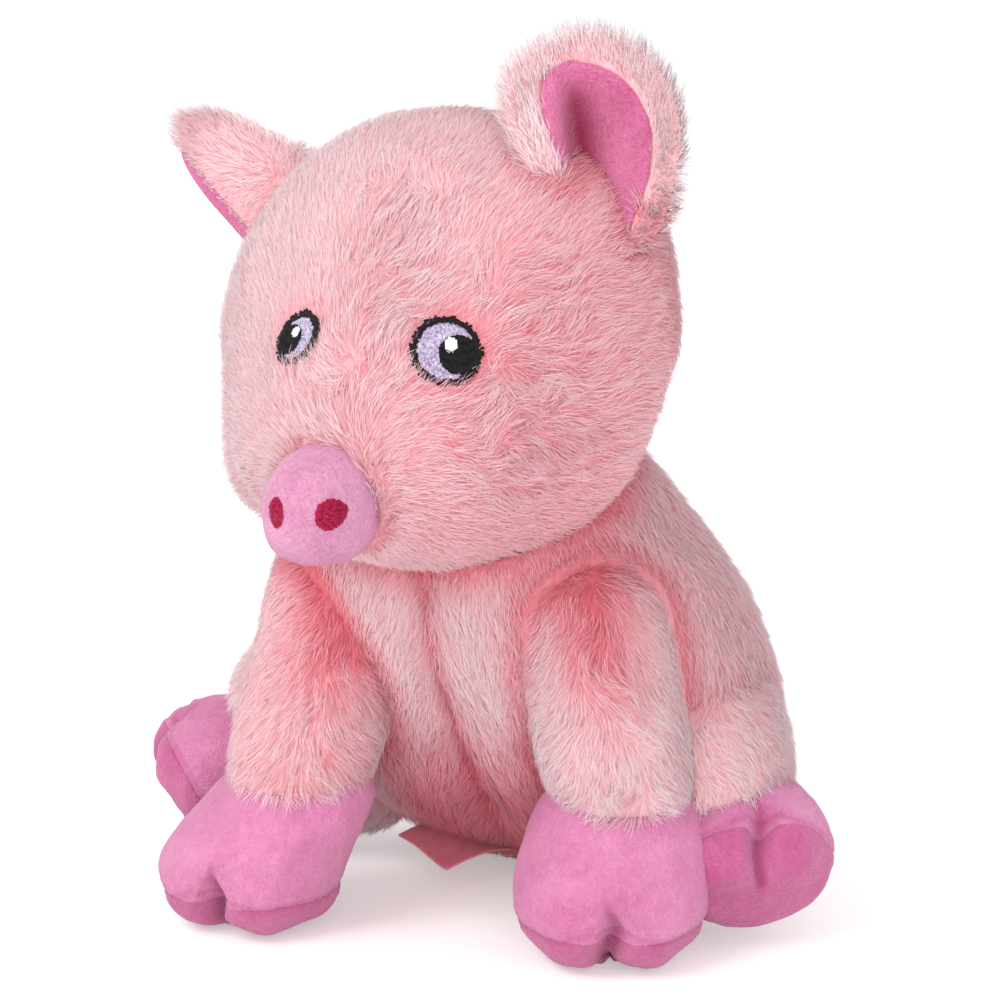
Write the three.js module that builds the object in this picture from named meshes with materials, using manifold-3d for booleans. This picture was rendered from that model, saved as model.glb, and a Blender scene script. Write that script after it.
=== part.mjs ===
// A seated plush pig, a toy for dogs: sewn covers of plush and velour over polyester filling,
// with embroidered eyes and nostrils, a sewn-in label and a squeaker in the belly.
// Millimetres. +Z up, the pig faces -Y and its left side is +X. The floor is z = 0.

import * as THREE from 'three';
import { mergeVertices } from 'three/addons/utils/BufferGeometryUtils.js';
import Module from 'manifold-3d';

// Cloth and fits
const plushWall = 5;
const velourWall = 1.6;
const embroideryDepth = 0.9;
const seamGap = 0.3;
const motionGap = 0.5;
const limbGap = 0.8;
const fillingLap = 1;

// Head: an egg with a broad muzzle, named from its own centre
const headCentre = { x: 0, y: -14, z: 155 };
const headHalf = { x: 58, y: 45, z: 56 };
const muzzleReach = 25;
const muzzleDrop = 27;
const muzzleSpread = 0.2;
const faceSeamBehind = 2;

// Snout
const snoutForward = 68;
const snoutDrop = 29;
const snoutHalf = { x: 14, y: 17, z: 14 };
const nostrilSpacing = 14;
const nostrilHalf = { x: 3.4, z: 3.9 };
const nostrilRise = 1;

// Eyes, as rings and fields of embroidery
const eyeSpacing = 38;
const eyeRise = 5.5;
const eyeRadius = 8.6;
const eyeOutlineWidth = 1.7;
const pupilRadius = 4.6;
const pupilShift = { out: 2, up: -0.9 };
const glintRadius = 1.6;
const glintShift = { out: 0.6, up: 1.2 };
const eyeSink = 1.4;

// Ears: rounded cups, each with its own lean
const earLength = 51;
const earHalfWidth = 25;
const earBackThickness = 7;
const earLiningInset = 4;
const earLiningThickness = 2;
const leftEar = {
  root: { x: 40, y: 0, z: 24 },
  along: { x: -0.24, y: 0.1, z: 0.96 },
  back: { x: -0.36, y: 0.92, z: -0.15 },
  curl: 32,
};
const rightEar = {
  root: { x: -38, y: 0, z: 31 },
  along: { x: -0.9, y: 0.3, z: 0.3 },
  back: { x: -0.02, y: -0.48, z: 0.68 },
  curl: 15,
};

// Torso from the floor up: front edge, back edge and half width at each height
const torsoSections = [
  { z: -0.5, front: 50, back: 50, half: 0 },
  { z: 0.6, front: 37, back: 62, half: 23 },
  { z: 10, front: 24, back: 72, half: 46 },
  { z: 22, front: 8, back: 79, half: 58 },
  { z: 36, front: -6, back: 82, half: 65 },
  { z: 54, front: -19, back: 82, half: 69 },
  { z: 72, front: -30, back: 77, half: 68 },
  { z: 92, front: -37, back: 67, half: 62 },
  { z: 108, front: -38, back: 55, half: 52 },
  { z: 122, front: -33, back: 42, half: 42 },
  { z: 136, front: -18, back: 28, half: 24 },
  { z: 142, front: 5, back: 5, half: 0 },
];
const seatSeamHeight = 11;

// Hoof, standing on its sole: front, back and half width at each height, toes towards -Y
const hoofSections = [
  { z: -0.5, front: -2, back: -2, half: 0 },
  { z: 0.6, front: -15, back: 14, half: 15.5 },
  { z: 5, front: -22, back: 18, half: 21.5 },
  { z: 13, front: -26, back: 20.5, half: 24.8 },
  { z: 23, front: -26, back: 21, half: 25 },
  { z: 33, front: -21, back: 19.5, half: 23 },
  { z: 41, front: -17, back: 17, half: 19 },
  { z: 48, front: -11, back: 11, half: 12 },
  { z: 51, front: 0, back: 0, half: 0 },
];
const hoofSeamHeight = 43;
const soleSeamHeight = 9;
const hoofMiddle = 23;
const cleftDepth = 9;
const cleftWidth = 4.5;
const cleftTop = 30;
const cleftRoom = 1.3;
const hindHoofSize = 0.84;
const hoofBend = { from: 12, to: 44 };

// Forelegs: straight tapered sleeves from the shoulder down to the hoof
const shoulder = { x: 35, y: -12, z: 88 };
const forelegRadius = 22;
const forelegFoot = 20.5;
const forelegTop = 109;
const leftForehoof = { x: 41, y: -11, turn: 22, ankle: { x: 1, y: 3 } };
const rightForehoof = { x: -48, y: -27, turn: -2, ankle: { x: 10, y: 2 } };

// Hind legs: a round thigh, with the hoof tipped on its heel and the sole to the front
const thighHalf = { x: 26, y: 33, z: 29 };
const leftThigh = { x: 52, y: 26, z: 32, turn: 28 };
const rightThigh = { x: -58, y: 34, z: 33, turn: -58 };
const leftHindHoof = { x: 71, y: 15, z: 21.5, tip: -60, turn: 36 };
const rightHindHoof = { x: -84, y: 22, z: 21.5, tip: -60, turn: -58 };

// Tail
const tailRoot = { x: 0, y: 77, z: 40 };
const tailLength = 24;
const tailRadius = 6;
const tailRise = 32;

// Label, sewn in under the belly and lying towards the pig's right
const labelLength = 28;
const labelWidth = 26;
const labelThickness = 0.8;
const labelRoot = { x: -6, y: 27, z: 7.4 };
const labelDroop = 9.5;
const labelTurn = 14;

// Neck: a ball of packed filling that the head turns and nods on, about an axis that leans forward,
// with a drawn thread that closes the body's cover round it
const neckLean = 21;
const neckDrop = 55;
const neckBallRadius = 13;
const neckThreadRadius = 22;
const neckThreadThickness = 0.9;

// Squeaker, upright in the belly
const squeakerCentre = { x: 0, y: 30 };
const squeakerFloor = 48;
const squeakerRadius = 19;
const squeakerShellHeight = 6;
const squeakTravel = 6;
const bellowsHeight = squeakTravel + 8;
const bellowsFolds = 3;
const squeakerWall = 1.2;
const reedRadius = 4;

// Room that the legs and the filling leave round the head as it turns and nods
const neckReach = 5.5;

// Hip joints
const hip = { x: 53, y: 50, z: 30 };

// How far the sewn joints give, in degrees
const neckTurnRange = 12;
const neckNodRange = 5;
const earFlapRange = 10;
const forelegLiftRange = 20;
const hindlegSplayRange = 12;
const tailWagRange = 12;
const labelLiftRange = 6;

// Fineness of the curved forms: their outsides, and their linings and fillings
const outside = { head: [28, 17], torso: [26, 14], limb: [16, 9], hoof: [18, 8], snout: [16, 10], neck: [20, 14] };
const inside = { head: [18, 11], torso: [18, 10], limb: [12, 7], hoof: [12, 6], snout: [12, 7] };
const earAround = 20;
const earSteps = 3;
const turnedSides = 18;
const sweepPlaces = 5;

const wasm = await Module();
wasm.setup();

const degrees = THREE.MathUtils.degToRad;
const vector = (at) => new THREE.Vector3(at.x, at.y, at.z ?? 0);
const moved = (x, y, z) => new THREE.Matrix4().makeTranslation(x, y, z);

// Geometry with only its positions, and with each vertex stored once
function bare(geometry) {
  const plain = new THREE.BufferGeometry();
  plain.setAttribute('position', geometry.attributes.position.clone());
  plain.setIndex(geometry.index);
  return mergeVertices(plain, 1e-4);
}

function toSolid(geometry) {
  const merged = bare(geometry);
  return new wasm.Manifold(new wasm.Mesh({
    numProp: 3,
    vertProperties: new Float32Array(merged.attributes.position.array),
    triVerts: new Uint32Array(merged.index.array),
  }));
}

function toGeometry(solid) {
  const mesh = solid.getMesh();
  const geometry = new THREE.BufferGeometry();
  geometry.setAttribute('position', new THREE.BufferAttribute(mesh.vertProperties, mesh.numProp));
  geometry.setIndex(new THREE.BufferAttribute(mesh.triVerts, 1));
  return geometry;
}

// Moves each vertex of a form by a rule on its place
function reshape(geometry, rule) {
  const form = bare(geometry);
  const place = new THREE.Vector3();
  const positions = form.attributes.position;
  for (let i = 0; i < positions.count; i += 1) {
    place.fromBufferAttribute(positions, i);
    rule(place);
    positions.setXYZ(i, place.x, place.y, place.z);
  }
  return form;
}

// The same form with its surface moved out, or in when the distance is negative
function grown(geometry, distance) {
  const form = bare(geometry);
  form.computeVertexNormals();
  const positions = form.attributes.position;
  const normals = form.attributes.normal;
  for (let i = 0; i < positions.count; i += 1) {
    positions.setXYZ(
      i,
      positions.getX(i) + distance * normals.getX(i),
      positions.getY(i) + distance * normals.getY(i),
      positions.getZ(i) + distance * normals.getZ(i),
    );
  }
  form.deleteAttribute('normal');
  return form;
}

// A closed skin over level rings. rings[i] is a list of points; the first and last are single points.
function skin(rings) {
  const positions = [];
  const starts = rings.map((ring) => {
    const start = positions.length / 3;
    ring.forEach((point) => positions.push(point.x, point.y, point.z));
    return start;
  });
  const around = rings[1].length;
  const faces = [];
  const last = rings.length - 1;
  for (let k = 0; k < around; k += 1) {
    const next = (k + 1) % around;
    faces.push(starts[0], starts[1] + next, starts[1] + k);
    faces.push(starts[last], starts[last - 1] + k, starts[last - 1] + next);
    for (let i = 1; i < last - 1; i += 1) {
      const lower = starts[i];
      const upper = starts[i + 1];
      faces.push(lower + k, lower + next, upper + next);
      faces.push(lower + k, upper + next, upper + k);
    }
  }
  const geometry = new THREE.BufferGeometry();
  geometry.setAttribute('position', new THREE.Float32BufferAttribute(positions, 3));
  geometry.setIndex(faces);
  return geometry;
}

// A form through level sections, each an ellipse between its front and back edges.
// crowding packs more points around the front.
function sectionForm(sections, around, rings, crowding = 0) {
  const edges = new THREE.CatmullRomCurve3(sections.map((s) => new THREE.Vector3(s.front, s.back, s.z)));
  const widths = new THREE.CatmullRomCurve3(sections.map((s) => new THREE.Vector3(s.half, 0, s.z)));
  edges.curveType = 'catmullrom';
  widths.curveType = 'catmullrom';
  edges.tension = 0.5;
  widths.tension = 0.5;
  const list = [];
  for (let i = 0; i <= rings; i += 1) {
    const t = (1 - Math.cos((Math.PI * i) / rings)) / 2;
    const edge = edges.getPoint(t);
    const half = widths.getPoint(t).x;
    const middle = (edge.x + edge.y) / 2;
    const depth = (edge.y - edge.x) / 2;
    if (i === 0 || i === rings) {
      list.push([new THREE.Vector3(0, middle, edge.z)]);
    } else {
      list.push(Array.from({ length: around }, (_, k) => {
        const even = (2 * Math.PI * k) / around - Math.PI;
        const angle = even - crowding * Math.sin(even) - Math.PI / 2;
        return new THREE.Vector3(half * Math.cos(angle), middle + depth * Math.sin(angle), edge.z);
      }));
    }
  }
  return skin(list);
}

function eggForm(half, around, rings) {
  return new THREE.SphereGeometry(1, around, rings).rotateX(Math.PI / 2).scale(half.x, half.y, half.z);
}

// Everything on one side of a plane through point, on the side that normal points to
function beyond(point, normal) {
  const size = 600;
  const box = new THREE.BoxGeometry(size, size, size).translate(0, 0, size / 2);
  const turn = new THREE.Quaternion().setFromUnitVectors(new THREE.Vector3(0, 0, 1), normal.clone().normalize());
  box.applyQuaternion(turn);
  return toSolid(box.translate(point.x, point.y, point.z));
}

const above = (height) => beyond(new THREE.Vector3(0, 0, height), new THREE.Vector3(0, 0, 1));
const floorCut = beyond(new THREE.Vector3(0, 0, 0), new THREE.Vector3(0, 0, -1));

// The turn of a body about a pivot, as one matrix
function turnAbout(pivot, axis, angle) {
  return moved(pivot.x, pivot.y, pivot.z)
    .multiply(new THREE.Matrix4().makeRotationAxis(axis, degrees(angle)))
    .multiply(moved(-pivot.x, -pivot.y, -pivot.z));
}

// The places that the world takes up round a body as the body turns from one angle to another
function sweepOf(pivot, axis, from, to) {
  return Array.from({ length: sweepPlaces }, (_, i) => (
    turnAbout(pivot, axis, -THREE.MathUtils.lerp(from, to, i / (sweepPlaces - 1)))
  ));
}

// A solid less every place that some forms take up as they turn
function clearOf(solid, forms, poses) {
  return poses.reduce((left, pose) => (
    forms.reduce((rest, form) => rest.subtract(toSolid(form.clone().applyMatrix4(pose))), left)
  ), solid);
}

// Cloth colours
const cloth = (color, roughness) => new THREE.MeshStandardMaterial({ color, roughness, metalness: 0 });
const plush = cloth(0xefc3c6, 0.95);
const velour = cloth(0xe48cc0, 0.85);
const snoutVelour = cloth(0xe0a3cb, 0.85);
const liningVelour = cloth(0xe273af, 0.85);
const fibre = cloth(0xf4f2ee, 1);
const blackThread = cloth(0x15101a, 0.55);
const paleThread = cloth(0xd9cfec, 0.55);
const whiteThread = cloth(0xf7f5fa, 0.5);
const nostrilThread = cloth(0xb0124e, 0.55);
const seamThread = cloth(0xe6a9b0, 0.7);
const satin = cloth(0xea93a8, 0.45);
const moulding = cloth(0xf2f2f0, 0.5);

const toy = new THREE.Group();
const pivots = new Map();

// One group for each body that moves, standing at its joint
function bodyGroup(pivot, parent = toy) {
  const group = new THREE.Group();
  const origin = pivots.get(parent) ?? new THREE.Vector3();
  group.position.copy(pivot).sub(origin);
  pivots.set(group, pivot.clone());
  parent.add(group);
  return group;
}

// Adds a piece to its body's group. A cut can leave crumbs beside the piece, and only the piece stays.
function addPiece(group, name, solid, material) {
  const origin = pivots.get(group) ?? new THREE.Vector3();
  const whole = solid.decompose().reduce((best, one) => (one.volume() > best.volume() ? one : best));
  const geometry = toGeometry(whole).translate(-origin.x, -origin.y, -origin.z);
  geometry.computeVertexNormals();
  const mesh = new THREE.Mesh(geometry, material.clone());
  mesh.name = name;
  group.add(mesh);
}

// Head form, in the toy's frame
const muzzleAim = new THREE.Vector3(0, -snoutForward, -muzzleDrop).normalize();
const headForm = ([around, rings]) => reshape(new THREE.SphereGeometry(1, around, rings).rotateX(Math.PI / 2), (d) => {
  const egg = 1 / Math.hypot(d.x / headHalf.x, d.y / headHalf.y, d.z / headHalf.z);
  const muzzle = muzzleReach * Math.exp((d.dot(muzzleAim) - 1) / muzzleSpread);
  d.multiplyScalar(egg + muzzle).add(vector(headCentre));
});
const headSolid = (distance, fineness = outside.head) => toSolid(grown(headForm(fineness), distance));
const onHead = (x, y, z) => new THREE.Vector3(headCentre.x + x, headCentre.y + y, headCentre.z + z);

const upAxis = new THREE.Vector3(0, 0, 1);
const sideAxis = new THREE.Vector3(1, 0, 0);
const rightwards = new THREE.Vector3(-1, 0, 0);
const neckAxis = upAxis.clone().applyAxisAngle(sideAxis, degrees(neckLean));
const neckJoint = vector(headCentre).addScaledVector(neckAxis, -neckDrop);
const nodAngles = [-neckNodRange, 0, neckNodRange];
const headPoses = [-neckTurnRange, 0, neckTurnRange].flatMap((turn) => (
  nodAngles.map((nod) => turnAbout(neckJoint, neckAxis, turn).multiply(turnAbout(neckJoint, sideAxis, nod)))
));
const headClearance = [grown(headForm(outside.head), motionGap)];

const torsoSolid = (distance, fineness = outside.torso) => (
  toSolid(grown(sectionForm(torsoSections, ...fineness), distance))
);
const torsoRoom = [grown(sectionForm(torsoSections, ...outside.torso), limbGap)];

const neckBall = (distance) => {
  const half = neckBallRadius + distance;
  const form = eggForm({ x: half, y: half, z: half }, ...outside.neck);
  return toSolid(form.translate(neckJoint.x, neckJoint.y, neckJoint.z));
};

// Neck thread, round the turning axis and under the lowest reach of the nodding head.
// It lies in a channel that is open to the head.
const onNeck = (geometry) => geometry.rotateX(degrees(neckLean)).translate(neckJoint.x, neckJoint.y, neckJoint.z);
const headRiseAtThread = neckDrop - Math.sqrt(neckDrop ** 2 - neckThreadRadius ** 2);
const threadLevel = headRiseAtThread - neckReach - neckThreadThickness;
const neckThreadForm = onNeck(
  new THREE.TorusGeometry(neckThreadRadius, neckThreadThickness / 2, 4, 2 * turnedSides).translate(0, 0, threadLevel),
);
const channelHalf = neckThreadThickness / 2 + motionGap;
const channelProfile = [[-1, -1], [1, -1], [1, 9], [-1, 9], [-1, -1]].map(([across, along]) => (
  new THREE.Vector2(neckThreadRadius + across * channelHalf, threadLevel + along * channelHalf)
));
const neckChannel = toSolid(onNeck(new THREE.LatheGeometry(channelProfile, 2 * turnedSides).rotateX(Math.PI / 2)));

// Ear, standing on its root with its lining to -Y: a rounded leaf cupped about its length
function earLeaf(curl, insetBy, from, to) {
  const around = earAround;
  const steps = earSteps;
  const pinch = 0.42;
  const surface = (angle, share, lift) => {
    const reach = earHalfWidth - insetBy;
    const tall = earLength / 2 - insetBy;
    const narrow = 1 - pinch * Math.max(0, -Math.sin(angle)) ** 2;
    const turn = (share * reach * Math.cos(angle) * narrow) / curl;
    const z = share * tall * Math.sin(angle) + earLength / 2;
    const radius = curl + lift;
    return new THREE.Vector3(radius * Math.sin(turn), radius * Math.cos(turn) - curl, z);
  };
  const puff = (share) => Math.sqrt(Math.max(0, 1 - share ** 4));
  const rings = [[surface(0, 0, to)]];
  const ringAt = (share, lift) => Array.from({ length: around }, (_, k) => (
    surface((2 * Math.PI * k) / around, share, lift)
  ));
  for (let i = 1; i < steps; i += 1) {
    rings.push(ringAt(i / steps, from + (to - from) * puff(i / steps)));
  }
  rings.push(ringAt(1, from));
  for (let i = steps - 1; i > 0; i -= 1) {
    rings.push(ringAt(i / steps, from - seamGap / 8));
  }
  rings.push([surface(0, 0, from - seamGap / 8)]);
  return skin(rings);
}

// An ear's place from its root, the way its length runs and the way its plush back faces
function earPlace({ root, along, back }) {
  const length = vector(along).normalize();
  const across = vector(back).cross(length).normalize();
  const at = onHead(root.x, root.y, root.z);
  const lean = new THREE.Matrix4().makeBasis(across, length.clone().cross(across), length);
  return moved(at.x, at.y, at.z).multiply(lean);
}

const ears = [
  { side: 'left', pose: leftEar },
  { side: 'right', pose: rightEar },
].map(({ side, pose }) => {
  const place = earPlace(pose);
  const root = new THREE.Vector3().applyMatrix4(place);
  const hinge = new THREE.Vector3(1, 0, 0).transformDirection(place);
  return { side, curl: pose.curl, place, root, hinge };
});

// A round bar that stands on a point along an aim, starting at a depth and so long
function bar(half, at, aim, from, length, sides = turnedSides) {
  const form = new THREE.CylinderGeometry(1, 1, length, sides).scale(half.x, 1, half.z);
  form.translate(0, from + length / 2, 0);
  const turn = new THREE.Quaternion().setFromUnitVectors(new THREE.Vector3(0, 1, 0), aim);
  return toSolid(form.applyQuaternion(turn).translate(at.x, at.y, at.z));
}

function eyeDisc(eye, radius, from, length, shift = { out: 0, up: 0 }) {
  const out = eye.aim.clone().cross(upAxis).normalize().multiplyScalar(-eye.sign);
  const up = out.clone().cross(eye.aim).multiplyScalar(-eye.sign);
  const at = eye.at.clone().addScaledVector(out, shift.out).addScaledVector(up, shift.up);
  return bar({ x: radius, z: radius }, at, eye.aim, from, length);
}

// Head pieces. The stitching of an eye pulls the plush down to a flat round seat.
const eyes = [['left', 1], ['right', -1]].map(([side, sign]) => {
  const sight = new THREE.Vector3((sign * eyeSpacing) / 2, -headHalf.y, eyeRise).normalize();
  const surface = headForm(outside.head);
  surface.computeVertexNormals();
  const skinMesh = new THREE.Mesh(surface, new THREE.MeshBasicMaterial({ side: THREE.DoubleSide }));
  const hit = new THREE.Raycaster(vector(headCentre), sight).intersectObject(skinMesh)[0];
  const aim = hit.normal.clone().multiplyScalar(Math.sign(hit.normal.dot(sight)));
  return { side, sign, aim, at: hit.point };
});
const headCover = eyes.reduce(
  (cover, eye) => cover.subtract(eyeDisc(eye, eyeRadius + seamGap, -eyeSink, 2 * eyeSink)),
  headSolid(0).subtract(headSolid(-plushWall, inside.head)).subtract(neckBall(seamGap)),
);
const faceSeam = onHead(0, faceSeamBehind, 0);
const forwards = new THREE.Vector3(0, -1, 0);
const backwards = new THREE.Vector3(0, 1, 0);
const halfGap = seamGap / 2;

const neckGroup = bodyGroup(neckJoint);
const headGroup = bodyGroup(neckJoint, neckGroup);
addPiece(neckGroup, 'neck_thread', toSolid(neckThreadForm), seamThread);
addPiece(neckGroup, 'neck_filling', neckBall(0), fibre);
addPiece(
  headGroup,
  'face_panel',
  headCover.intersect(beyond(faceSeam.clone().addScaledVector(forwards, halfGap), forwards)),
  plush,
);
addPiece(
  headGroup,
  'head_back_panel',
  headCover.intersect(beyond(faceSeam.clone().addScaledVector(backwards, halfGap), backwards)),
  plush,
);
addPiece(
  headGroup,
  'head_filling',
  headSolid(-plushWall - seamGap, inside.head).subtract(neckBall(seamGap)),
  fibre,
);

// Snout
const snoutForm = (fineness) => eggForm(snoutHalf, ...fineness).applyMatrix4(
  moved(headCentre.x, headCentre.y - snoutForward, headCentre.z - snoutDrop),
);
const snoutSolid = (distance, fineness) => toSolid(grown(snoutForm(fineness), distance));
const headSeat = headSolid(seamGap);
const snoutCap = snoutSolid(0, outside.snout).subtract(snoutSolid(-velourWall, inside.snout));
addPiece(headGroup, 'snout_cap', snoutCap.subtract(headSeat), snoutVelour);
addPiece(headGroup, 'snout_filling', snoutSolid(-velourWall - seamGap, inside.snout).subtract(headSeat), fibre);

// Nostrils lie on the snout as a thin layer of stitches
const snoutStitches = snoutSolid(seamGap + embroideryDepth, outside.snout)
  .subtract(snoutSolid(seamGap, outside.snout));
for (const [side, sign] of [['left', 1], ['right', -1]]) {
  const at = onHead((sign * nostrilSpacing) / 2, -snoutForward, nostrilRise - snoutDrop);
  addPiece(
    headGroup,
    `nostril_${side}`,
    snoutStitches.intersect(bar(nostrilHalf, at, forwards, 0, snoutHalf.y * 2)),
    nostrilThread,
  );
}

// Eyes: outline, field, pupil and glint, level in their seat
const fieldRadius = eyeRadius - eyeOutlineWidth;
for (const eye of eyes) {
  const disc = (radius, shift) => eyeDisc(eye, radius, seamGap - eyeSink, embroideryDepth, shift);
  const hole = (radius, shift) => eyeDisc(eye, radius + seamGap, -eyeSink, 2 * eyeSink, shift);
  const field = disc(fieldRadius);
  const pupil = disc(pupilRadius, pupilShift).intersect(field);
  addPiece(headGroup, `eye_${eye.side}_outline`, disc(eyeRadius).subtract(hole(fieldRadius)), blackThread);
  addPiece(headGroup, `eye_${eye.side}_field`, field.subtract(hole(pupilRadius, pupilShift)), paleThread);
  addPiece(headGroup, `eye_${eye.side}_pupil`, pupil.subtract(hole(glintRadius, glintShift)), blackThread);
  addPiece(headGroup, `eye_${eye.side}_glint`, disc(glintRadius, glintShift), whiteThread);
}

// Ear pieces
for (const ear of ears) {
  const group = bodyGroup(ear.root, headGroup);
  const backForm = earLeaf(ear.curl, 0, 0, earBackThickness);
  const back = toSolid(backForm.clone().applyMatrix4(ear.place));
  const liningFrom = -earLiningThickness;
  const lining = toSolid(
    earLeaf(ear.curl, earLiningInset, liningFrom, -seamGap).applyMatrix4(ear.place),
  ).subtract(toSolid(grown(backForm, seamGap).applyMatrix4(ear.place)));
  const sweep = sweepOf(ear.root, ear.hinge, -earFlapRange, earFlapRange);
  const headForEar = [grown(headForm(outside.head), limbGap)];
  addPiece(group, `ear_${ear.side}_back`, clearOf(back, headForEar, sweep), plush);
  addPiece(group, `ear_${ear.side}_lining`, clearOf(lining, headForEar, sweep), liningVelour);
}

// Hoof form with its cleft between the two toes
const hoofForm = (size, ankle, distance, fineness) => {
  const room = distance < 0 ? cleftRoom : 1;
  const form = reshape(sectionForm(hoofSections, ...fineness, 0.5), (p) => {
    const ahead = THREE.MathUtils.smoothstep(-p.y, 4, 18);
    const low = 1 - THREE.MathUtils.smoothstep(p.z, cleftTop / 2, cleftTop);
    p.y += cleftDepth * room * ahead * low * Math.exp(-((p.x / (cleftWidth * room)) ** 2));
    p.addScaledVector(ankle, THREE.MathUtils.smoothstep(p.z, hoofBend.from, hoofBend.to));
  });
  return grown(form.scale(size, size, size), distance);
};

// Hoof as an upper and a sole, both open towards the filling
function addHoof(group, name, size, ankle, place, rooms, sweep) {
  const hoof = (distance, fineness) => toSolid(hoofForm(size, ankle, distance, fineness).applyMatrix4(place));
  const axis = new THREE.Vector3(0, 0, 1).transformDirection(place);
  const level = (height, above = 0) => new THREE.Vector3(0, 0, height * size + above).applyMatrix4(place);
  const down = axis.clone().negate();
  const shell = clearOf(
    hoof(0, outside.hoof).subtract(hoof(-velourWall, inside.hoof)).subtract(floorCut),
    rooms,
    sweep,
  );
  const upper = shell
    .intersect(beyond(level(soleSeamHeight, halfGap), axis))
    .intersect(beyond(level(hoofSeamHeight), down));
  const sole = shell.intersect(beyond(level(soleSeamHeight, -halfGap), down));
  addPiece(group, `${name}_hoof_upper`, upper, velour);
  addPiece(group, `${name}_hoof_sole`, sole, velour);
  return clearOf(
    hoof(-velourWall - seamGap, inside.hoof)
      .intersect(beyond(level(hoofSeamHeight, fillingLap), down))
      .subtract(floorCut),
    rooms,
    sweep,
  );
}

// Forelegs
const bulge = (z, radius) => ({ z, front: -radius, back: radius, half: radius });
const forelegSections = [
  bulge(hoofSeamHeight - 14, 0),
  bulge(hoofSeamHeight - 11, forelegFoot * 0.7),
  bulge(hoofSeamHeight, forelegFoot),
  bulge((shoulder.z + hoofSeamHeight) / 2, forelegRadius),
  bulge(shoulder.z, forelegRadius),
  bulge((shoulder.z + forelegTop) / 2, forelegRadius * 0.86),
  bulge(forelegTop - 2, forelegRadius * 0.4),
  bulge(forelegTop, 0),
];
const forelegRooms = {};
const headRoom = [grown(headForm(outside.head), neckReach)];
for (const [side, sign, foot] of [['left', 1, leftForehoof], ['right', -1, rightForehoof]]) {
  const top = { x: sign * shoulder.x, y: shoulder.y };
  const legForm = (fineness) => reshape(sectionForm(forelegSections, ...fineness), (p) => {
    const share = (p.z - hoofSeamHeight) / (shoulder.z - hoofSeamHeight);
    p.x += THREE.MathUtils.lerp(foot.x + foot.ankle.x, top.x, share);
    p.y += THREE.MathUtils.lerp(foot.y + foot.ankle.y, top.y, share);
  });
  const joint = new THREE.Vector3(top.x, top.y, forelegTop - 6);
  const sweep = sweepOf(joint, rightwards, 0, forelegLiftRange);
  const leg = (distance, fineness) => clearOf(
    toSolid(grown(legForm(fineness), distance)),
    [...torsoRoom, ...headRoom],
    sweep,
  );
  const place = moved(foot.x, foot.y, 0).multiply(new THREE.Matrix4().makeRotationZ(degrees(foot.turn)));
  const ankle = vector(foot.ankle).applyAxisAngle(upAxis, -degrees(foot.turn));
  forelegRooms[side] = [
    grown(legForm(outside.limb), limbGap),
    hoofForm(1, ankle, limbGap, outside.hoof).applyMatrix4(place),
  ];
  const group = bodyGroup(joint);
  const lining = toSolid(grown(legForm(inside.limb), -plushWall));
  const sleeve = leg(0, outside.limb).subtract(lining).intersect(above(hoofSeamHeight + seamGap));
  addPiece(group, `foreleg_${side}_sleeve`, sleeve, plush);
  const hoofFilling = addHoof(group, `foreleg_${side}`, 1, ankle, place, torsoRoom, sweep);
  const legFilling = leg(-plushWall - seamGap, inside.limb).intersect(above(hoofSeamHeight + seamGap));
  addPiece(group, `foreleg_${side}_filling`, legFilling.add(hoofFilling), fibre);
}

// Hind legs
for (const [side, sign, thigh, foot] of [
  ['left', 1, leftThigh, leftHindHoof],
  ['right', -1, rightThigh, rightHindHoof],
]) {
  const joint = new THREE.Vector3(sign * hip.x, hip.y, hip.z);
  const thighPlace = moved(thigh.x, thigh.y, thigh.z)
    .multiply(new THREE.Matrix4().makeRotationZ(degrees(thigh.turn)));
  const thighForm = (fineness) => eggForm(thighHalf, ...fineness).applyMatrix4(thighPlace);
  const outward = upAxis.clone().multiplyScalar(sign);
  const sweep = sweepOf(joint, outward, 0, hindlegSplayRange);
  const leg = (distance, fineness) => toSolid(grown(thighForm(fineness), distance));
  const place = moved(foot.x, foot.y, foot.z)
    .multiply(new THREE.Matrix4().makeRotationZ(degrees(foot.turn)))
    .multiply(new THREE.Matrix4().makeRotationX(degrees(foot.tip)))
    .multiply(moved(0, 0, -hoofMiddle * hindHoofSize));
  const axis = new THREE.Vector3(0, 0, 1).transformDirection(place);
  const seam = new THREE.Vector3(0, 0, hoofSeamHeight * hindHoofSize + seamGap).applyMatrix4(place);
  const group = bodyGroup(joint);
  const rooms = [...torsoRoom, ...forelegRooms[side]];
  const cover = leg(0, outside.limb).subtract(leg(-plushWall, inside.limb));
  const sleeve = clearOf(cover, rooms, sweep)
    .subtract(floorCut)
    .intersect(beyond(seam, axis));
  addPiece(group, `hindleg_${side}_sleeve`, sleeve, plush);
  const hoofFilling = addHoof(
    group,
    `hindleg_${side}`,
    hindHoofSize,
    new THREE.Vector3(),
    place,
    rooms,
    sweep,
  );
  const legFilling = clearOf(leg(-plushWall - seamGap, inside.limb), rooms, sweep)
    .intersect(beyond(seam, axis));
  addPiece(group, `hindleg_${side}_filling`, legFilling.add(hoofFilling), fibre);
}

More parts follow.
